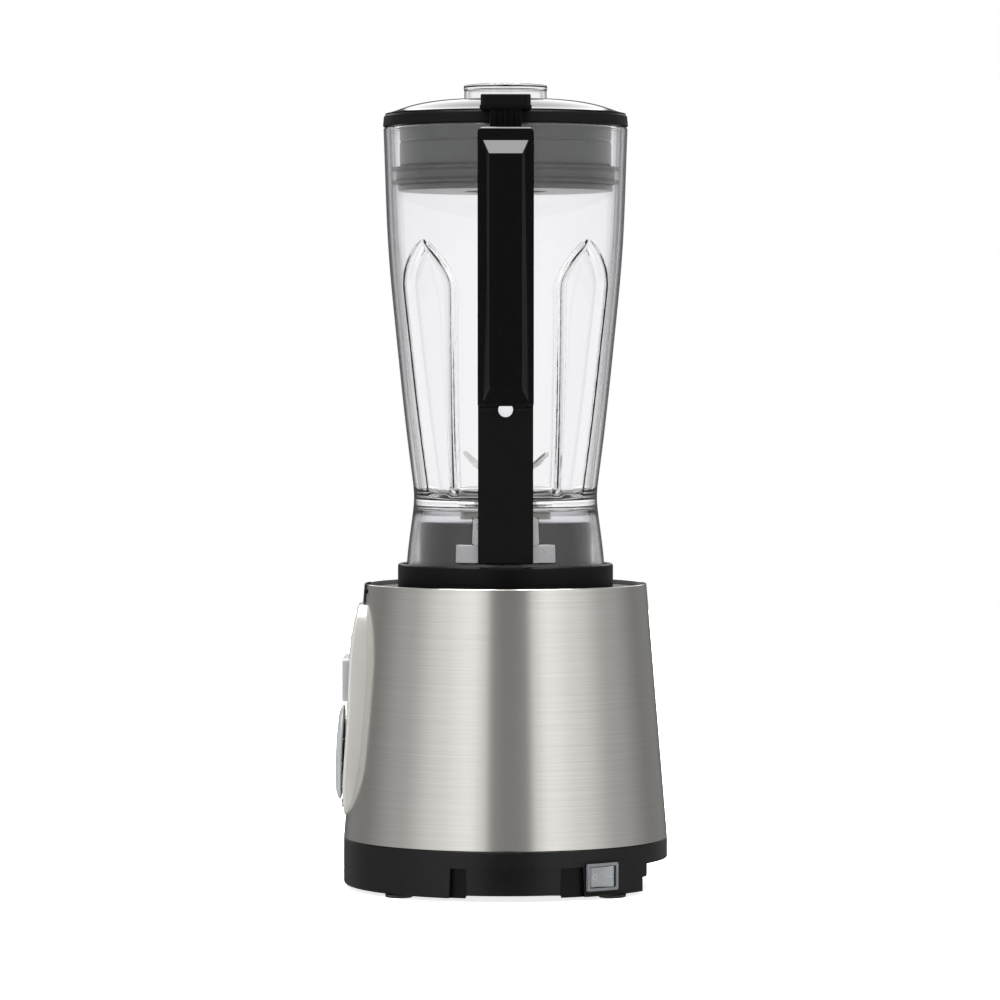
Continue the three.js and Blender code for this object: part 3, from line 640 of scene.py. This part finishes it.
bpy.ops.mesh.primitive_grid_add(x_subdivisions=8, y_subdivisions=8, size=6)
floor = bpy.context.object
floor.name = "floor"
floor_paint = Paint("pale_floor", (0.9, 0.9, 0.9), 0.85, Emission_Strength=0.8)
floor_paint.set("Emission Color", (1, 1, 1, 1))
floor_paint.mottle(3, 0.01)
floor.data.materials.append(floor_paint.material)
floor.visible_glossy = False

scene.view_settings.view_transform = "Standard"
scene.view_settings.look = "None"


# ---- motor base: casing ----------------------------------------------

BASE_R = 89.9
SHELL_LOW, SHELL_TOP, SHELL_TOP_R = 27.8, 168.5, 78.2
PANEL_LOW, PANEL_WIDEST, PANEL_TOP, PANEL_HALF = 39, 80, 157.4, 31.4
BOSSES = ((46.7, -46.7), (-46.7, 46.7))
SWITCH_TURN = Matrix.Rotation(0.63, 4, "Z")


def shell_radius(z):
    return BASE_R + (z - SHELL_LOW) / (SHELL_TOP - SHELL_LOW) * (SHELL_TOP_R - BASE_R)


def panel_half(z, grow=0.0):
    """Half the panel's width at a height."""
    rise, power = (82, 3) if z > PANEL_WIDEST else (41, 2.3)
    share = min(1, abs(z - PANEL_WIDEST) / (rise + grow))
    return (PANEL_HALF + grow) * (1 - share**power) ** (1 / power)


def panel_outline(grow=0.0, steps=48):
    """The panel seen from the front: a long egg cut straight across at the top."""
    low = PANEL_LOW - grow
    top = PANEL_TOP + grow
    side = []
    for i in range(1, steps + 1):
        z = low + (top - low) * (1 - math.cos(math.pi * i / steps)) / 2
        side.append([panel_half(z, grow), z])
    side[-1].append(1.2)
    loop = [[0, low]] + side + [[-x, z, *rest] for x, z, *rest in reversed(side)]
    return fillet(loop, 4)


def shell_skin(low, high, rim=0.0):
    outer = [[shell_radius(low) - 1, low], [shell_radius(low), low, 0.3]]
    outer += [[shell_radius(high), high, rim], [shell_radius(high) - 1, high, rim]]
    return turned(fillet(outer, 3), 288)


steel = cut(
    shell_skin(SHELL_LOW, SHELL_TOP, 0.49),
    prism(panel_outline(), -110, -40, "Y"),
    block(-18, 18, -110, -40, 156.4, 170),
)
steel = bevelled(steel, 0.22, 50, 2, lambda m: m.y < -60 and abs(m.x) < 34 and m.z > 37)
fine("steel_shell", steel, "base", LOOKS["steel"], "brushed_steel", 40)


def mirrored(mesh):
    copy = mesh.copy()
    return moved(copy, Matrix.Scale(-1, 4, (1, 0, 0)))


def slanted(y0, y1, low, high, slope):
    """A slot through the side wall whose ends lean outwards at the bottom."""
    outline = fillet([[y0 - slope, low], [y1 + slope, low], [y1, high, 1.2], [y0, high, 1.2]], 4)
    return prism(outline, 70, 100, "X")


def bottom_housing():
    """A tub with a recessed band, slots and a raised belly on both sides, cut away behind."""
    wall = turned(
        fillet(
            [
                [0, 2],
                [BASE_R, 2, 1.6],
                [BASE_R, 27.5, 0.5],
                [88.1, 27.5],
                [88.1, 32, 0.4],
                [84.5, 32],
                [84.5, 4.5, 2],
                [0, 4.5],
            ],
            5,
        ),
        256,
        closed=False,
    )
    slot_top = 18.4
    front, front_end, rear_end, back = -29.9, -21.5, 29.9, 42
    ring = turned([[87.9, -1], [99, -1], [99, slot_top], [87.9, slot_top]], 256)
    band = cut(ring, block(-120, 120, back, 120, -10, 40), block(-120, 120, -120, front, -10, 40))
    groove = turned([[86, -1], [99, -1], [99, slot_top], [86, slot_top]], 256)
    front_slot = boolean(groove, slanted(front, front_end, -2, slot_top, 0.8), "INTERSECT")
    rear_slot = boolean(groove, slanted(rear_end, back, -2, slot_top, 0.8), "INTERSECT")
    belly = slanted(front_end, rear_end, -2, 3.6, 0)
    sides = [front_slot, rear_slot, belly]
    steps = [block(-90, 90, 76.8, 100, -2, 17), block(-90, 90, 74.9, 100, -2, 10)]
    flat = moved(block(88, 101, -25, 25, 3.2, 21.8), SWITCH_TURN)
    window = moved(block(75, 101, -9.9, 9.9, 5.6, 19.4), SWITCH_TURN)
    inlet = moved(
        prism(rectangle(8.6, 8.6, 4.29, steps=12), 60, 100), Matrix.Rotation(-math.pi / 2, 4, "X")
    )
    inlet.transform(Matrix.Translation((0, 0, 11)))
    sinks = [prism(rectangle(8.8, 8.8, 4.39, x, y, 10), 0, 4.2) for x, y in BOSSES]
    far_sides = [mirrored(tool) for tool in sides]
    return cut(wall, band, *sides, *far_sides, *steps, flat, window, inlet, *sinks)


housing = fine("bottom_housing", bottom_housing(), "base", LOOKS["housing"], "satin_black", 28)
# The floors of the side slots take the darker, duller satin black: painted shade in the slots.
housing.data.materials.append(LOOKS["satin"])
TO_DRAWING = PLACE.inverted()
for face in housing.data.polygons:
    spot = TO_DRAWING @ face.center
    if 85.6 < math.hypot(spot.x, spot.y) < 87.3 and 2.1 < spot.z < 18.5 and abs(spot.x) > 60:
        face.material_index = 1

for name, x, y in (
    ("rear_right", 58, 58),
    ("front_right", 58, -58),
    ("rear_left", -58, 58),
    ("front_left", -58, -58),
):
    foot = turned(
        fillet(
            [
                [0, 0.5],
                [3.4, 0.5, 0.3],
                [4, 0, 0.3],
                [7.3, 0, 0.5],
                [7.7, 1.7, 0.2],
                [2.3, 1.7],
                [2.3, 6, 0.4],
                [0, 6],
            ],
            4,
        ),
        48,
        closed=False,
    )
    foot.transform(Matrix.Translation((x, y, 0)))
    fine("foot_" + name, foot, "base", LOOKS["rubber"], "black_rubber")

deck_plate = turned(
    fillet(
        [
            [38, 163.4],
            [77, 163.4, 0.3],
            [77, 166, 0.4],
            [64, 166, 0.6],
            [63, 165.4, 0.6],
            [61.5, 165.4, 0.5],
            [60.9, 166, 0.3],
            [38, 166],
        ],
        4,
    ),
    256,
)
deck_skirt = turned([[74.2, 152], [76.6, 152], [76.6, 163.3], [74.2, 163.3]], 192)
deck_front = block(-36, 36, -100, -60, 140, 163.2)
tongue = boolean(
    shell_skin(157.7, SHELL_TOP, 0.4), block(-17.7, 17.7, -100, -40, 100, 200), "INTERSECT"
)
bridge = block(-17.7, 17.7, -77.6, -70, 163.5, 165.9)
posts = [prism(rectangle(10, 10, 4.99, x, y, 8), 9.3, 163.3) for x, y in BOSSES]
deck = merged(deck_plate, cut(deck_skirt, deck_front), tongue, bridge, *posts)
fine("top_deck", deck, "base", LOOKS["satin"], "satin_black")

seat = turned(
    fillet(
        [
            [18, 177.5],
            [30, 177.5],
            [30, 200.5],
            [45.2, 200.5],
            [45.2, 166.3],
            [59.7, 166.3, 0.6],
            [59.7, 179.6, 1.4],
            [56.1, 179.6, 1.0],
            [56.1, 169, 1.0],
            [47.7, 169, 1.0],
            [47.7, 203, 1.6],
            [44.2, 203, 0.4],
            [43.8, 202.6, 0.3],
            [42.6, 202.6, 0.3],
            [42.2, 203, 0.4],
            [27.5, 203, 1.0],
            [27.5, 180, 0.6],
            [18, 180, 0.3],
        ],
        5,
    ),
    256,
)
# Three keying notches in the collar's inner edge.
notches = []
for angle in (0.5, 0.5 + 2 * math.pi / 3, 0.5 + 4 * math.pi / 3):
    notch = block(55.2, 57.4, -4, 4, 174, 182)
    notches.append(moved(notch, Matrix.Rotation(angle, 4, "Z")))
seat = cut(seat, *notches)
fine("jug_seat", seat, "base", LOOKS["satin"], "satin_black", 28)

# ---- control panel ---------------------------------------------------

KEYS = ("low", "pulse", "high")
KEY_Z, KEY_PITCH, KEY_FACE_Y = 116, 17, -90.18
LENS_Z = 138
KNOB_PLACE = Matrix.Translation((0, -89.5, 74.7)) @ Matrix.Rotation(math.pi / 2 - 0.042, 4, "X")
FACE = smooth_curve(
    [(-81.6, 157.4), (-84.9, 143), (-87.4, 115), (-89.2, 81), (-90.5, 54), (-89.4, 38)], 80
)
FACE_Z = [z for _, z in reversed(FACE)]
FACE_Y = [y for y, _ in reversed(FACE)]


def face_y(z, x):
    """The panel's face: its profile, bowed back a little towards both sides."""
    return float(np.interp(z, FACE_Z, FACE_Y)) + 1.1 * (x / PANEL_HALF) ** 2


def key_x(i):
    return (i - 1) * KEY_PITCH


def control_panel():
    """Rings from the back edge, round the rim and in to a line up the middle of the face."""
    outline = panel_outline(-0.3, 56)
    n = len(outline)
    flat = [Vector(p) for p in outline]
    inward = []
    for i in range(n):
        along = (flat[(i + 1) % n] - flat[i - 1]).normalized()
        inward.append(Vector((-along.y, along.x)))
    rings = [[(p.x, -70, p.y) for p in flat]]
    rings.append([(p.x, -76, p.y) for p in flat])
    rim = 1.5
    for k in range(7):
        angle = math.pi / 2 * k / 6
        inset = rim * (1 - math.cos(angle))
        back = rim * (1 - math.sin(angle))
        ring = []
        for p, side in zip(flat, inward):
            q = p + side * inset
            ring.append((q.x, face_y(q.y, q.x) + back, q.y))
        rings.append(ring)
    last = [p + side * rim for p, side in zip(flat, inward)]
    for k in range(1, 15):
        share = k / 14
        ring = []
        for p in last:
            spine = Vector((0, min(max(p.y, 60), 140)))
            q = p.lerp(spine, share)
            ring.append((q.x, face_y(q.y, q.x), q.y))
        rings.append(ring)
    mesh = tidy(lofted(rings, [0]), 0.02)
    pockets = [
        prism(rectangle(15.8, 24.8, 2.9, key_x(i), KEY_Z), -110, -82.2, "Y")
        for i in range(len(KEYS))
    ]
    pockets.append(prism(rectangle(9.8, 3.2, 1.59, 0, LENS_Z), -110, -82.4, "Y"))
    return cut(mesh, *pockets)


fine("control_panel", control_panel(), "base", LOOKS["silver"], "silver_plastic", 24)


def domed_key(i):
    """A key cap: rounded outline, soft rim and a face dished by a fraction of a millimetre."""
    outline = rectangle(15, 24, 2.5, steps=8)
    levels = [(0.0, -83.0), (0.0, -89.3), (0.12, -89.75), (0.4, -90.05), (0.85, KEY_FACE_Y)]
    rings = []
    for inset, y in levels:
        wide = (7.5 - inset) / 7.5
        tall = (12 - inset) / 12
        rings.append([(x * wide, y, z * tall) for x, z in outline])
    for share in (0.85, 0.7, 0.5, 0.3, 0.12):
        y = KEY_FACE_Y + 0.35 * (1 - share**2)
        rings.append([(x * share, y, z * share) for x, z in outline])
    cap = tidy(lofted(rings, [0, len(rings) - 1]))
    stop = block(-6.5, 6.5, -83.4, -82.4, -14, 14)
    stem = block(-2.5, 2.5, -83, -79.4, -2.5, 2.5)
    whole = merged(cap, stop, stem)
    whole.transform(Matrix.Translation((key_x(i), 0, KEY_Z)))
    return whole


for i, name in enumerate(KEYS):
    node = "key_" + name
    fine(node, domed_key(i), node, LOOKS["key"], "light_grey_plastic")
    bars = []
    for k in range(i + 1):
        bar = rectangle(1.1, 5.2, 0.5, key_x(i) + (k - i / 2) * 2.6, KEY_Z, 3)
        bars.append(prism(bar, KEY_FACE_Y, -89.7, "Y"))
    piece("key_mark_" + name, merged(*bars), node, LOOKS["mark"], ())

lens = prism(rectangle(9.2, 2.6, 1.28, 0, LENS_Z, 8), -85.9, -82.6, "Y")
lens = bevelled(lens, 0.35, 40, 3, lambda m: m.y < -85.5)
fine("indicator_lens", lens, "base", LOOKS["lamp"], "lamp_lens")


def speed_knob():
    """A stepped dial with a fluted edge, a slot for the pointer and a stem behind."""
    dial = turned(
        fillet(
            [
                [0, 0.5],
                [25.6, 0.5, 0.3],
                [26.3, 1.2, 0.4],
                [26.0, 2.2, 0.5],
                [22.4, 3.6, 1.5],
                [21.6, 3.75, 0.2],
                [21.2, 3.45, 0.15],
                [20.8, 3.45, 0.15],
                [20.4, 3.9, 0.2],
                [12, 4.5, 4],
                [0, 4.7],
            ],
            5,
        ),
        160,
        closed=False,
    )
    groove = prism(rectangle(1.8, 11, 0.89, 0, 17.5, 6), 3.2, 8)
    dial = cut(dial, groove)
    flutes = []
    for k in range(60):
        flute = turned([[0, 0.2], [0.45, 0.2], [0.45, 3], [0, 3]], 8, closed=False)
        angle = 2 * math.pi * k / 60
        flute.transform(Matrix.Translation((26.5 * math.cos(angle), 26.5 * math.sin(angle), 0)))
        flutes.append(flute)
    dial = cut(dial, *flutes)
    stem = turned(fillet([[0, -11], [2.3, -11, 0.3], [2.3, 0.4], [0, 0.4]], 3), 32, closed=False)
    whole = merged(dial, stem)
    whole.transform(KNOB_PLACE)
    return whole


fine("speed_knob", speed_knob(), "speed_knob", LOOKS["key"], "light_grey_plastic", 26)
pointer = prism(rectangle(1.5, 10.6, 0.74, 0, 17.5, 6), 3.0, 3.45)
pointer.transform(KNOB_PLACE)
piece("knob_pointer", pointer, "speed_knob", LOOKS["mark"], ())

# Raised index marks round the knob, the longer ones at both ends and in the middle.
marks = []
for k in range(11):
    mark = bevelled(block(-0.35, 0.35, 28.2, 30.2 if k % 5 else 30.9, -0.55, 0.2), 0.12, 30, 2)
    mark.transform(Matrix.Rotation(math.radians(-45 + 27 * k) + math.pi / 2, 4, "Z"))
    mark.transform(KNOB_PLACE)
    marks.append(mark)
piece("knob_marks", merged(*marks), "base", LOOKS["mark"], ())

# ---- power switch ----------------------------------------------------

SWITCH_Z = 12.5
ROCKER_PIVOT_X, ROCKER_REST = 85.5, -0.15
FACE_TILT = 0.15


def switch_body():
    bezel = prism(rectangle(21, 15, 1, 0, SWITCH_Z), 88.3, 89.9, "X")
    bezel = bevelled(bezel, 0.5, 40, 3, lambda m: m.x > 89.5)
    can = block(73, 88.2, -9.5, 9.5, 6, 19)
    pit = prism(rectangle(17.6, 11.8, 0.5, 0, SWITCH_Z), 81.8, 100, "X")
    tabs = [block(68, 74, y - 0.4, y + 0.4, 10.5, 14.5) for y in (-6, 0, 6)]
    return moved(merged(cut(bezel, pit), cut(can, pit.copy()), *tabs), SWITCH_TURN)


fine("power_switch_body", switch_body(), "base", LOOKS["bezel"], "satin_black")


def rocker_point(x, y):
    """A point of the rocker, drawn about its pivot, in the rest attitude."""
    spot = Matrix.Rotation(ROCKER_REST, 2) @ Vector((x, y))
    return (spot.x + ROCKER_PIVOT_X, spot.y)


def power_rocker():
    outline = fillet([[-2, -5], [-2, 5], [4.4, 8, 0.8], [3.2, 0, 9], [4.4, -8, 0.8]], 6)
    body = prism([rocker_point(*p) for p in reversed(outline)], 6.9, 18.1)
    return bevelled(body, 0.5, 50, 3, lambda m: m.x > 84)


def rocker_mark(mesh, side):
    """Stands a mark, drawn flat, on one half of the rocker's face."""
    onto_half = Matrix.Translation((3.8, side * 4.3, 0))
    onto_half = onto_half @ Matrix.Rotation(-FACE_TILT * side, 4, "Z")
    about_pivot = Matrix.Translation((ROCKER_PIVOT_X, 0, SWITCH_Z))
    about_pivot = about_pivot @ Matrix.Rotation(ROCKER_REST, 4, "Z")
    upright = Matrix.Rotation(math.pi / 2, 4, "Y")
    return moved(mesh, about_pivot @ onto_half @ upright, SWITCH_TURN)


off_mark = turned([[1.2, 0], [1.65, 0], [1.65, 0.16], [1.2, 0.16]], 40)
on_mark = block(-0.22, 0.22, -1.5, 1.5, 0, 0.16)
piece("power_off_mark", rocker_mark(off_mark, -1), "power_rocker", LOOKS["key"])
piece("power_on_mark", rocker_mark(on_mark, 1), "power_rocker", LOOKS["key"])
rocker = moved(power_rocker(), SWITCH_TURN)
fine("power_rocker", rocker, "power_rocker", LOOKS["rocker"], "clear_grey_plastic", 35)

# ---- jug -------------------------------------------------------------

JUG = smooth_curve(
    [
        (55.4, 171),
        (54.4, 184),
        (51.9, 204),
        (50.8, 217.3),
        (51.7, 227),
        (54.7, 250.6),
        (60.2, 302),
        (65, 355),
        (67, 404),
        (67.6, 420.6),
    ],
    160,
)
JUG_R = [r for r, _ in JUG]
JUG_Z = [z for _, z in JUG]
WALL = 2.7
RIB_FOOT, RIB_SHOULDER, RIB_DEPTH = 217, 331, 3.6
INNER_RIB = (1.1, 5.6)


def jug_r(z):
    return float(np.interp(z, JUG_Z, JUG_R))


def ease(x):
    x = min(1.0, max(0.0, x))
    return x * x * (3 - 2 * x)


def ramp(x):
    """A straight slope from 0 to 1 with its two corners just softened."""
    x = min(1.0, max(0.0, x))
    return 0.8 * x + 0.2 * ease(x)


def rib_rise(angle, z, wider=0.0, flank=6.5):
    """How far the wall is pressed in at a rib: a flat band with a pointed top.

    The inner face follows the outer one with a band wider by 1.1 mm and a steeper flank.
    """
    if not RIB_FOOT < z < 359:
        return 0.0
    nearest = (angle - math.pi / 4) % (math.pi / 2)
    nearest = min(nearest, math.pi / 2 - nearest)
    across = nearest * (jug_r(z) - WALL)
    half = 10.5 + wider + (z - 218) / 117 * 8.5
    if z > RIB_SHOULDER:
        half *= max(0.0, 1 - ((z - RIB_SHOULDER) / 27.5) ** 1.8)
    return RIB_DEPTH * ramp((half - across) / flank) * ease((z - RIB_FOOT) / 5)


def pad_rise(angle, z):
    """The two steps that stand out of the skirt beside the handle's strap."""
    across = abs(math.atan2(math.sin(angle), math.cos(angle))) * jug_r(z)
    if math.cos(angle) < 0:
        return 0.0
    upper = 2.0 * ease((17.5 - across) / 0.7 + 0.5) * ease((z - 190.7) / 0.7) * ease(
        (206.2 - z) / 0.7
    )
    lower = 1.2 * ease((28 - across) / 0.7 + 0.5) * ease((z - 181.2) / 0.7) * ease(
        (191.7 - z) / 0.7
    )
    return max(upper, lower)


def spread(stops):
    """Levels from (start, stop, step) runs, without repeats."""
    out = []
    for start, stop, step in stops:
        count = max(1, round((stop - start) / step))
        out += [start + (stop - start) * k / count for k in range(count)]
    out.append(stops[-1][1])
    return out


def jug_body():
    """Rings up the outside, over the rim, down the inside and under the floor."""
    angles = []
    quarter = math.pi / 2
    edge = 0.41
    for k in range(4):
        middle = k * quarter
        fine = 0.02 if k == 0 else 0.05
        angles += spread([(middle - edge, middle + edge, fine)])[:-1]
        angles += spread([(middle + edge, middle + quarter - edge, 0.0095)])[:-1]
    rows = []
    outer_levels = spread(
        [(171.8, 180.8, 3), (180.8, 182.4, 0.35), (182.4, 190.4, 4), (190.4, 192.2, 0.35),
         (192.2, 205.2, 4), (205.2, 206.6, 0.35), (206.6, 216, 2.4), (216, 223, 1),
         (223, 330, 4), (330, 360, 0.75), (360, 419.6, 7)]
    )
    rows.append(("plain", [(jug_r(171) - 1.9, 171.25), (jug_r(171) - 1.3, 171)]))
    rows.append(("plain", [(jug_r(171) - 0.5, 171.1), (jug_r(171) - 0.1, 171.45)]))
    rows.append(("outer", outer_levels))
    rim = []
    for k in range(7):
        turn = math.pi * k / 6
        r = jug_r(420) - WALL / 2 + WALL / 2 * math.cos(turn)
        rim.append((r, 419.9 + 0.7 * math.sin(turn)))
    rows.append(("plain", rim))
    inner_levels = spread(
        [(223, 226, 1.5), (226, 330, 4), (330, 360, 0.75), (360, 419.2, 7)]
    )
    rows.append(("inner", inner_levels[::-1]))
    floor_r = jug_r(223) - WALL
    bowl = []
    for k in range(1, 9):
        turn = math.pi / 2 * k / 8
        bowl.append((floor_r - 8.2 * (1 - math.cos(turn)), 223 - 8.2 * math.sin(turn)))
    rows.append(("bowl", bowl))
    rows.append(("plain", [(30, 214.8), (18.2, 214.8), (17.6, 214.3), (17.6, 212), (18.1, 211.5)]))
    skirt = [(30, 211.5), (43, 211.5), (46.4, 210.8), (48.0, 209), (48.6, 205)]
    skirt += [(jug_r(z) - WALL, z) for z in (198, 190, 182, 175, 172.2)]
    rows.append(("plain", skirt))
    rings = []
    for kind, levels in rows:
        for level in levels:
            ring = []
            for a in angles:
                if kind == "outer":
                    r, z = jug_r(level) + pad_rise(a, level) - rib_rise(a, level), level
                elif kind == "inner":
                    r, z = jug_r(level) - WALL - rib_rise(a, level, *INNER_RIB), level
                elif kind == "bowl":
                    z = level[1]
                    r = level[0] - rib_rise(a, z, *INNER_RIB)
                else:
                    r, z = level
                ring.append((r * math.cos(a), r * math.sin(a), z))
            rings.append(ring)
    return tidy(lofted(rings, closed=True), 0)


jug = fine("jug", jug_body(), "jug", LOOKS["jug"], "clear_plastic", 60)
# Under the floor the wall is frosted, and the two steps beside the strap are milky.
jug.data.materials.append(LOOKS["frosted"])
jug.data.materials.append(LOOKS["pad"])
for face in jug.data.polygons:
    x, y, z = face.center
    r = math.hypot(x - AXIS_X, y - AXIS_Y) * 1000
    if z < 0.2118 and r < jug_r(z * 1000) - 1.5:
        face.material_index = 1
    elif 0.1817 < z < 0.206 and r > jug_r(z * 1000) + 0.3:
        face.material_index = 2

# ---- handle ----------------------------------------------------------


GRIP_LOW, GRIP_TOP, GRIP_HALF = 267.7, 416.5, 15


def grip_x(z):
    return 108 + (z - GRIP_LOW) / (GRIP_TOP - GRIP_LOW) * 10


def strap_x(z):
    return jug_r(z) + 5.3


def rounded_ends(mesh, low, high, low_radius, high_radius):
    """Rounds the handle's corners as seen from its outer side."""
    half = GRIP_HALF + 0.01
    corners = [[-half, low, low_radius], [half, low, low_radius]]
    corners += [[half, high, high_radius], [-half, high, high_radius]]
    return boolean(mesh, prism(fillet(corners, 8), 30, 130, "X"), "INTERSECT")


def handle_frame():
    """Strap and grip with the finger gap, hollowed to sit on the jug and its pads."""
    levels = (190, 204, 210.5, 217.3, 222, 227, 238, 250.6, 258)
    outline = [[40, 181.5], [strap_x(181.5), 181.5, 0.8]]
    outline += [[strap_x(z), z] for z in levels]
    outline += [
        [strap_x(266), 266, 3],
        [74, 271.5, 6],
        [98.5, 268.2],
        [grip_x(GRIP_LOW) - 6.3, 268.2],
        [grip_x(409) - 6.3, 409, 3],
        [104, 416, 2],
        [40, 416],
    ]
    body = prism(fillet(outline, 5), -GRIP_HALF, GRIP_HALF, "Y")
    window = [[strap_x(287), 287, 7], [grip_x(287) - 17, 287, 8], [grip_x(400) - 17, 400, 8]]
    window += [[strap_x(400), 400, 7]]
    window += [[strap_x(z), z] for z in (385, 370, 355, 337, 320, 302)]
    opening = prism(fillet(window, 6), -30, 30, "Y")
    body = rounded_ends(cut(body, opening), 170, 416.01, 0, 3.4)
    body = bevelled(body, 0.8, 50, 3, lambda m: m.x > 60 and abs(m.y) > 14.9 and m.z < 411)
    clearance = [[0, 100], [55.8, 100], [55.8, 171]]
    clearance += [[jug_r(z) + 0.35, z] for z in spread([(172, 260, 6), (260, 419, 10)])]
    clearance += [[68.25, 425], [68.25, 500], [0, 500]]
    jug_space = turned(clearance, 256, closed=False)
    sideways = Matrix.Rotation(math.pi / 2, 4, "Y")
    thumb = turned([[0, 40], [4, 40], [4, 90], [0, 90]], 48, closed=False)
    thumb.transform(Matrix.Translation((0, 0, 265.3)) @ sideways)
    upper_pad = block(40, jug_r(198.5) + 2.35, -20, 20, 190.6, 206.4)
    lower_pad = block(40, jug_r(186) + 1.55, -20, 20, 181, 191.9)
    sinks = []
    for z in (300, 386):
        sink = turned([[0, 0], [3.4, 0], [3.4, 16], [0, 16]], 32, closed=False)
        sink.transform(Matrix.Translation((grip_x(z) - 30, 0, z)) @ sideways)
        sinks.append(sink)
    return cut(body, jug_space, thumb, upper_pad, lower_pad, *sinks)


fine("handle_frame", handle_frame(), "jug", LOOKS["satin"], "satin_black", 30)


def handle_cover():
    """The gloss outer shell: a border round the raised bar, with a rounded top."""
    outline = fillet(
        [
            [grip_x(GRIP_LOW) - 6, GRIP_LOW],
            [grip_x(GRIP_LOW) - 2.2, GRIP_LOW, 2.6],
            [grip_x(403) - 2.2, 403, 1.5],
            [grip_x(410) - 5.8, 409.6, 1.2],
            [110.9, GRIP_TOP, 2.2],
            [104.6, GRIP_TOP],
            [grip_x(409) - 6, 409, 3],
        ],
        6,
    )
    bar = prism(outline, -GRIP_HALF, GRIP_HALF, "Y")
    body = rounded_ends(bar, 267.69, 416.51, 2.6, 3.6)
    return bevelled(
        body, 1.3, 50, 4, lambda m: abs(m.y) > 10 and m.x > grip_x(m.z) - 5.4 - (m.z > 403) * 4
    )


fine("handle_cover", handle_cover(), "jug", LOOKS["gloss"], "gloss_black")


def handle_inlay():
    """The raised bar: a flat face with chamfers down both sides and at both ends."""
    levels = [
        (-2.5, 12.2, 270.5, 409.2, -3.3),
        (-2.2, 12.2, 270.7, 409.0, -3.0),
        (-0.15, 9.1, 277.4, 402.0, 0),
        (0.0, 8.8, 277.9, 401.4, 0),
    ]
    rings = []
    for depth, half, low, high, top_back in levels:
        outline = [[-half, low, 1.2], [half, low, 1.2], [half, high, 0.4], [-half, high, 0.4]]
        ring = []
        for y, z in fillet(outline):
            back = top_back if z > 405 else 0
            ring.append((grip_x(z) + depth + back, y, z))
        rings.append(ring)
    return tidy(lofted(rings, [0, len(rings) - 1]))


fine("handle_inlay", handle_inlay(), "jug", LOOKS["gloss"], "gloss_black", 18)

# ---- lid -------------------------------------------------------------

DOME = smooth_curve(
    [(66.6, 428.4), (64.1, 429), (58, 431.1), (51, 433.2), (43, 434.8), (34, 435.8), (24, 436.4)],
    28,
)


def lid_cover():
    """The dome as a shell 2.2 mm thick, with an opening for the cup."""
    under = [[r, z - 2.2] for r, z in DOME if z > 430.3]
    outline = [[66.6, 427.9, 0.3]]
    outline += [[r, z] for r, z in DOME[:-1]]
    outline += [[24.2, 436.4, 0.3], [23.6, 436.2, 0.2], [23.6, 433.9]]
    outline += under[::-1]
    outline += [[60, 427.9]]
    return turned(fillet(outline, 3), 256)


fine("lid_cover", lid_cover(), "lid", LOOKS["gloss"], "gloss_black", 40)

rim = turned(
    fillet(
        [
            [59.2, 421.2, 0.3],
            [67.9, 421.2, 0.6],
            [67.4, 426.6, 1.2],
            [66.8, 427.6, 0.3],
            [59.2, 427.6, 0.3],
        ],
        4,
    ),
    256,
)
fine("lid_rim", rim, "lid", LOOKS["satin"], "satin_black")

plug = turned(
    fillet(
        [
            [23.3, 385.5, 0.4],
            [59.5, 385.5, 0.9],
            [59.5, 388.4, 0.4],
            [57.2, 388.4],
            [57.2, 399.8],
            [58.6, 399.8, 0.4],
            [58.6, 412, 0.2],
            [58.1, 412.5, 0.2],
            [58.1, 413.3, 0.2],
            [58.6, 413.8, 0.2],
            [58.6, 427.2],
            [56.4, 427.2],
            [56.4, 388, 2],
            [25.8, 388, 2],
            [25.8, 433.5],
            [23.3, 433.5, 0.3],
        ],
        4,
    ),
    224,
)
fine("lid_plug", plug, "lid", LOOKS["plug"], "plug_grey")

gasket = turned(
    fillet(
        [
            [57.5, 388.8],
            [63.3, 389.6, 0.5],
            [62.9, 390.8, 0.5],
            [60.6, 392.2, 0.8],
            [60.4, 394, 0.5],
            [60.6, 395.8, 0.8],
            [62.9, 397.2, 0.5],
            [63.3, 398.4, 0.5],
            [57.5, 399.4],
        ],
        4,
    ),
    224,
)
fine("lid_gasket", gasket, "lid", LOOKS["gasket"], "plug_grey")


def lid_tab():
    """A cap over the handle on a ridged stem, cut to the lid's outline."""
    cap = prism(rectangle(22, 27, 2, 73, 0, 6), 428.7, 435.2)
    cap = bevelled(cap, 0.8, 50, 4, lambda m: m.z > 435)
    flare = bevelled(block(68.3, 83, -14, 14, 427.2, 429.5), 0.5, 50, 3)
    stem = bevelled(block(68.3, 80, -8.5, 8.5, 417, 428), 0.6, 50, 3)
    ridges = []
    for y in (-6, -3, 0, 3, 6):
        ridges.append(bevelled(block(79, 80.8, y - 0.8, y + 0.8, 417.5, 428), 0.3, 50, 2))
    body = cap
    for part in (flare, stem, *ridges):
        body = boolean(body, part, "UNION")
    room = [[0, 400], [68.3, 400], [68.3, 428], [66.9, 428.7]]
    room += [[r, z + 0.4] for r, z in DOME[1:]]
    room += [[0, 437.2]]
    return cut(body, turned(room, 192, closed=False))


fine("lid_tab", lid_tab(), "lid", LOOKS["satin"], "satin_black")

cup = turned(
    fillet(
        [
            [0, 441.8],
            [20.6, 441.8, 1.2],
            [20.6, 398, 0.6],
            [22.8, 398, 0.6],
            [22.8, 441.2, 0.3],
            [23.1, 441.7, 0.3],
            [23.1, 444.3, 0.9],
            [0, 444.3],
        ],
        5,
    ),
    192,
    closed=False,
)
fine("measuring_cup", cup, "cup", LOOKS["cup"], "clear_plastic", 40)
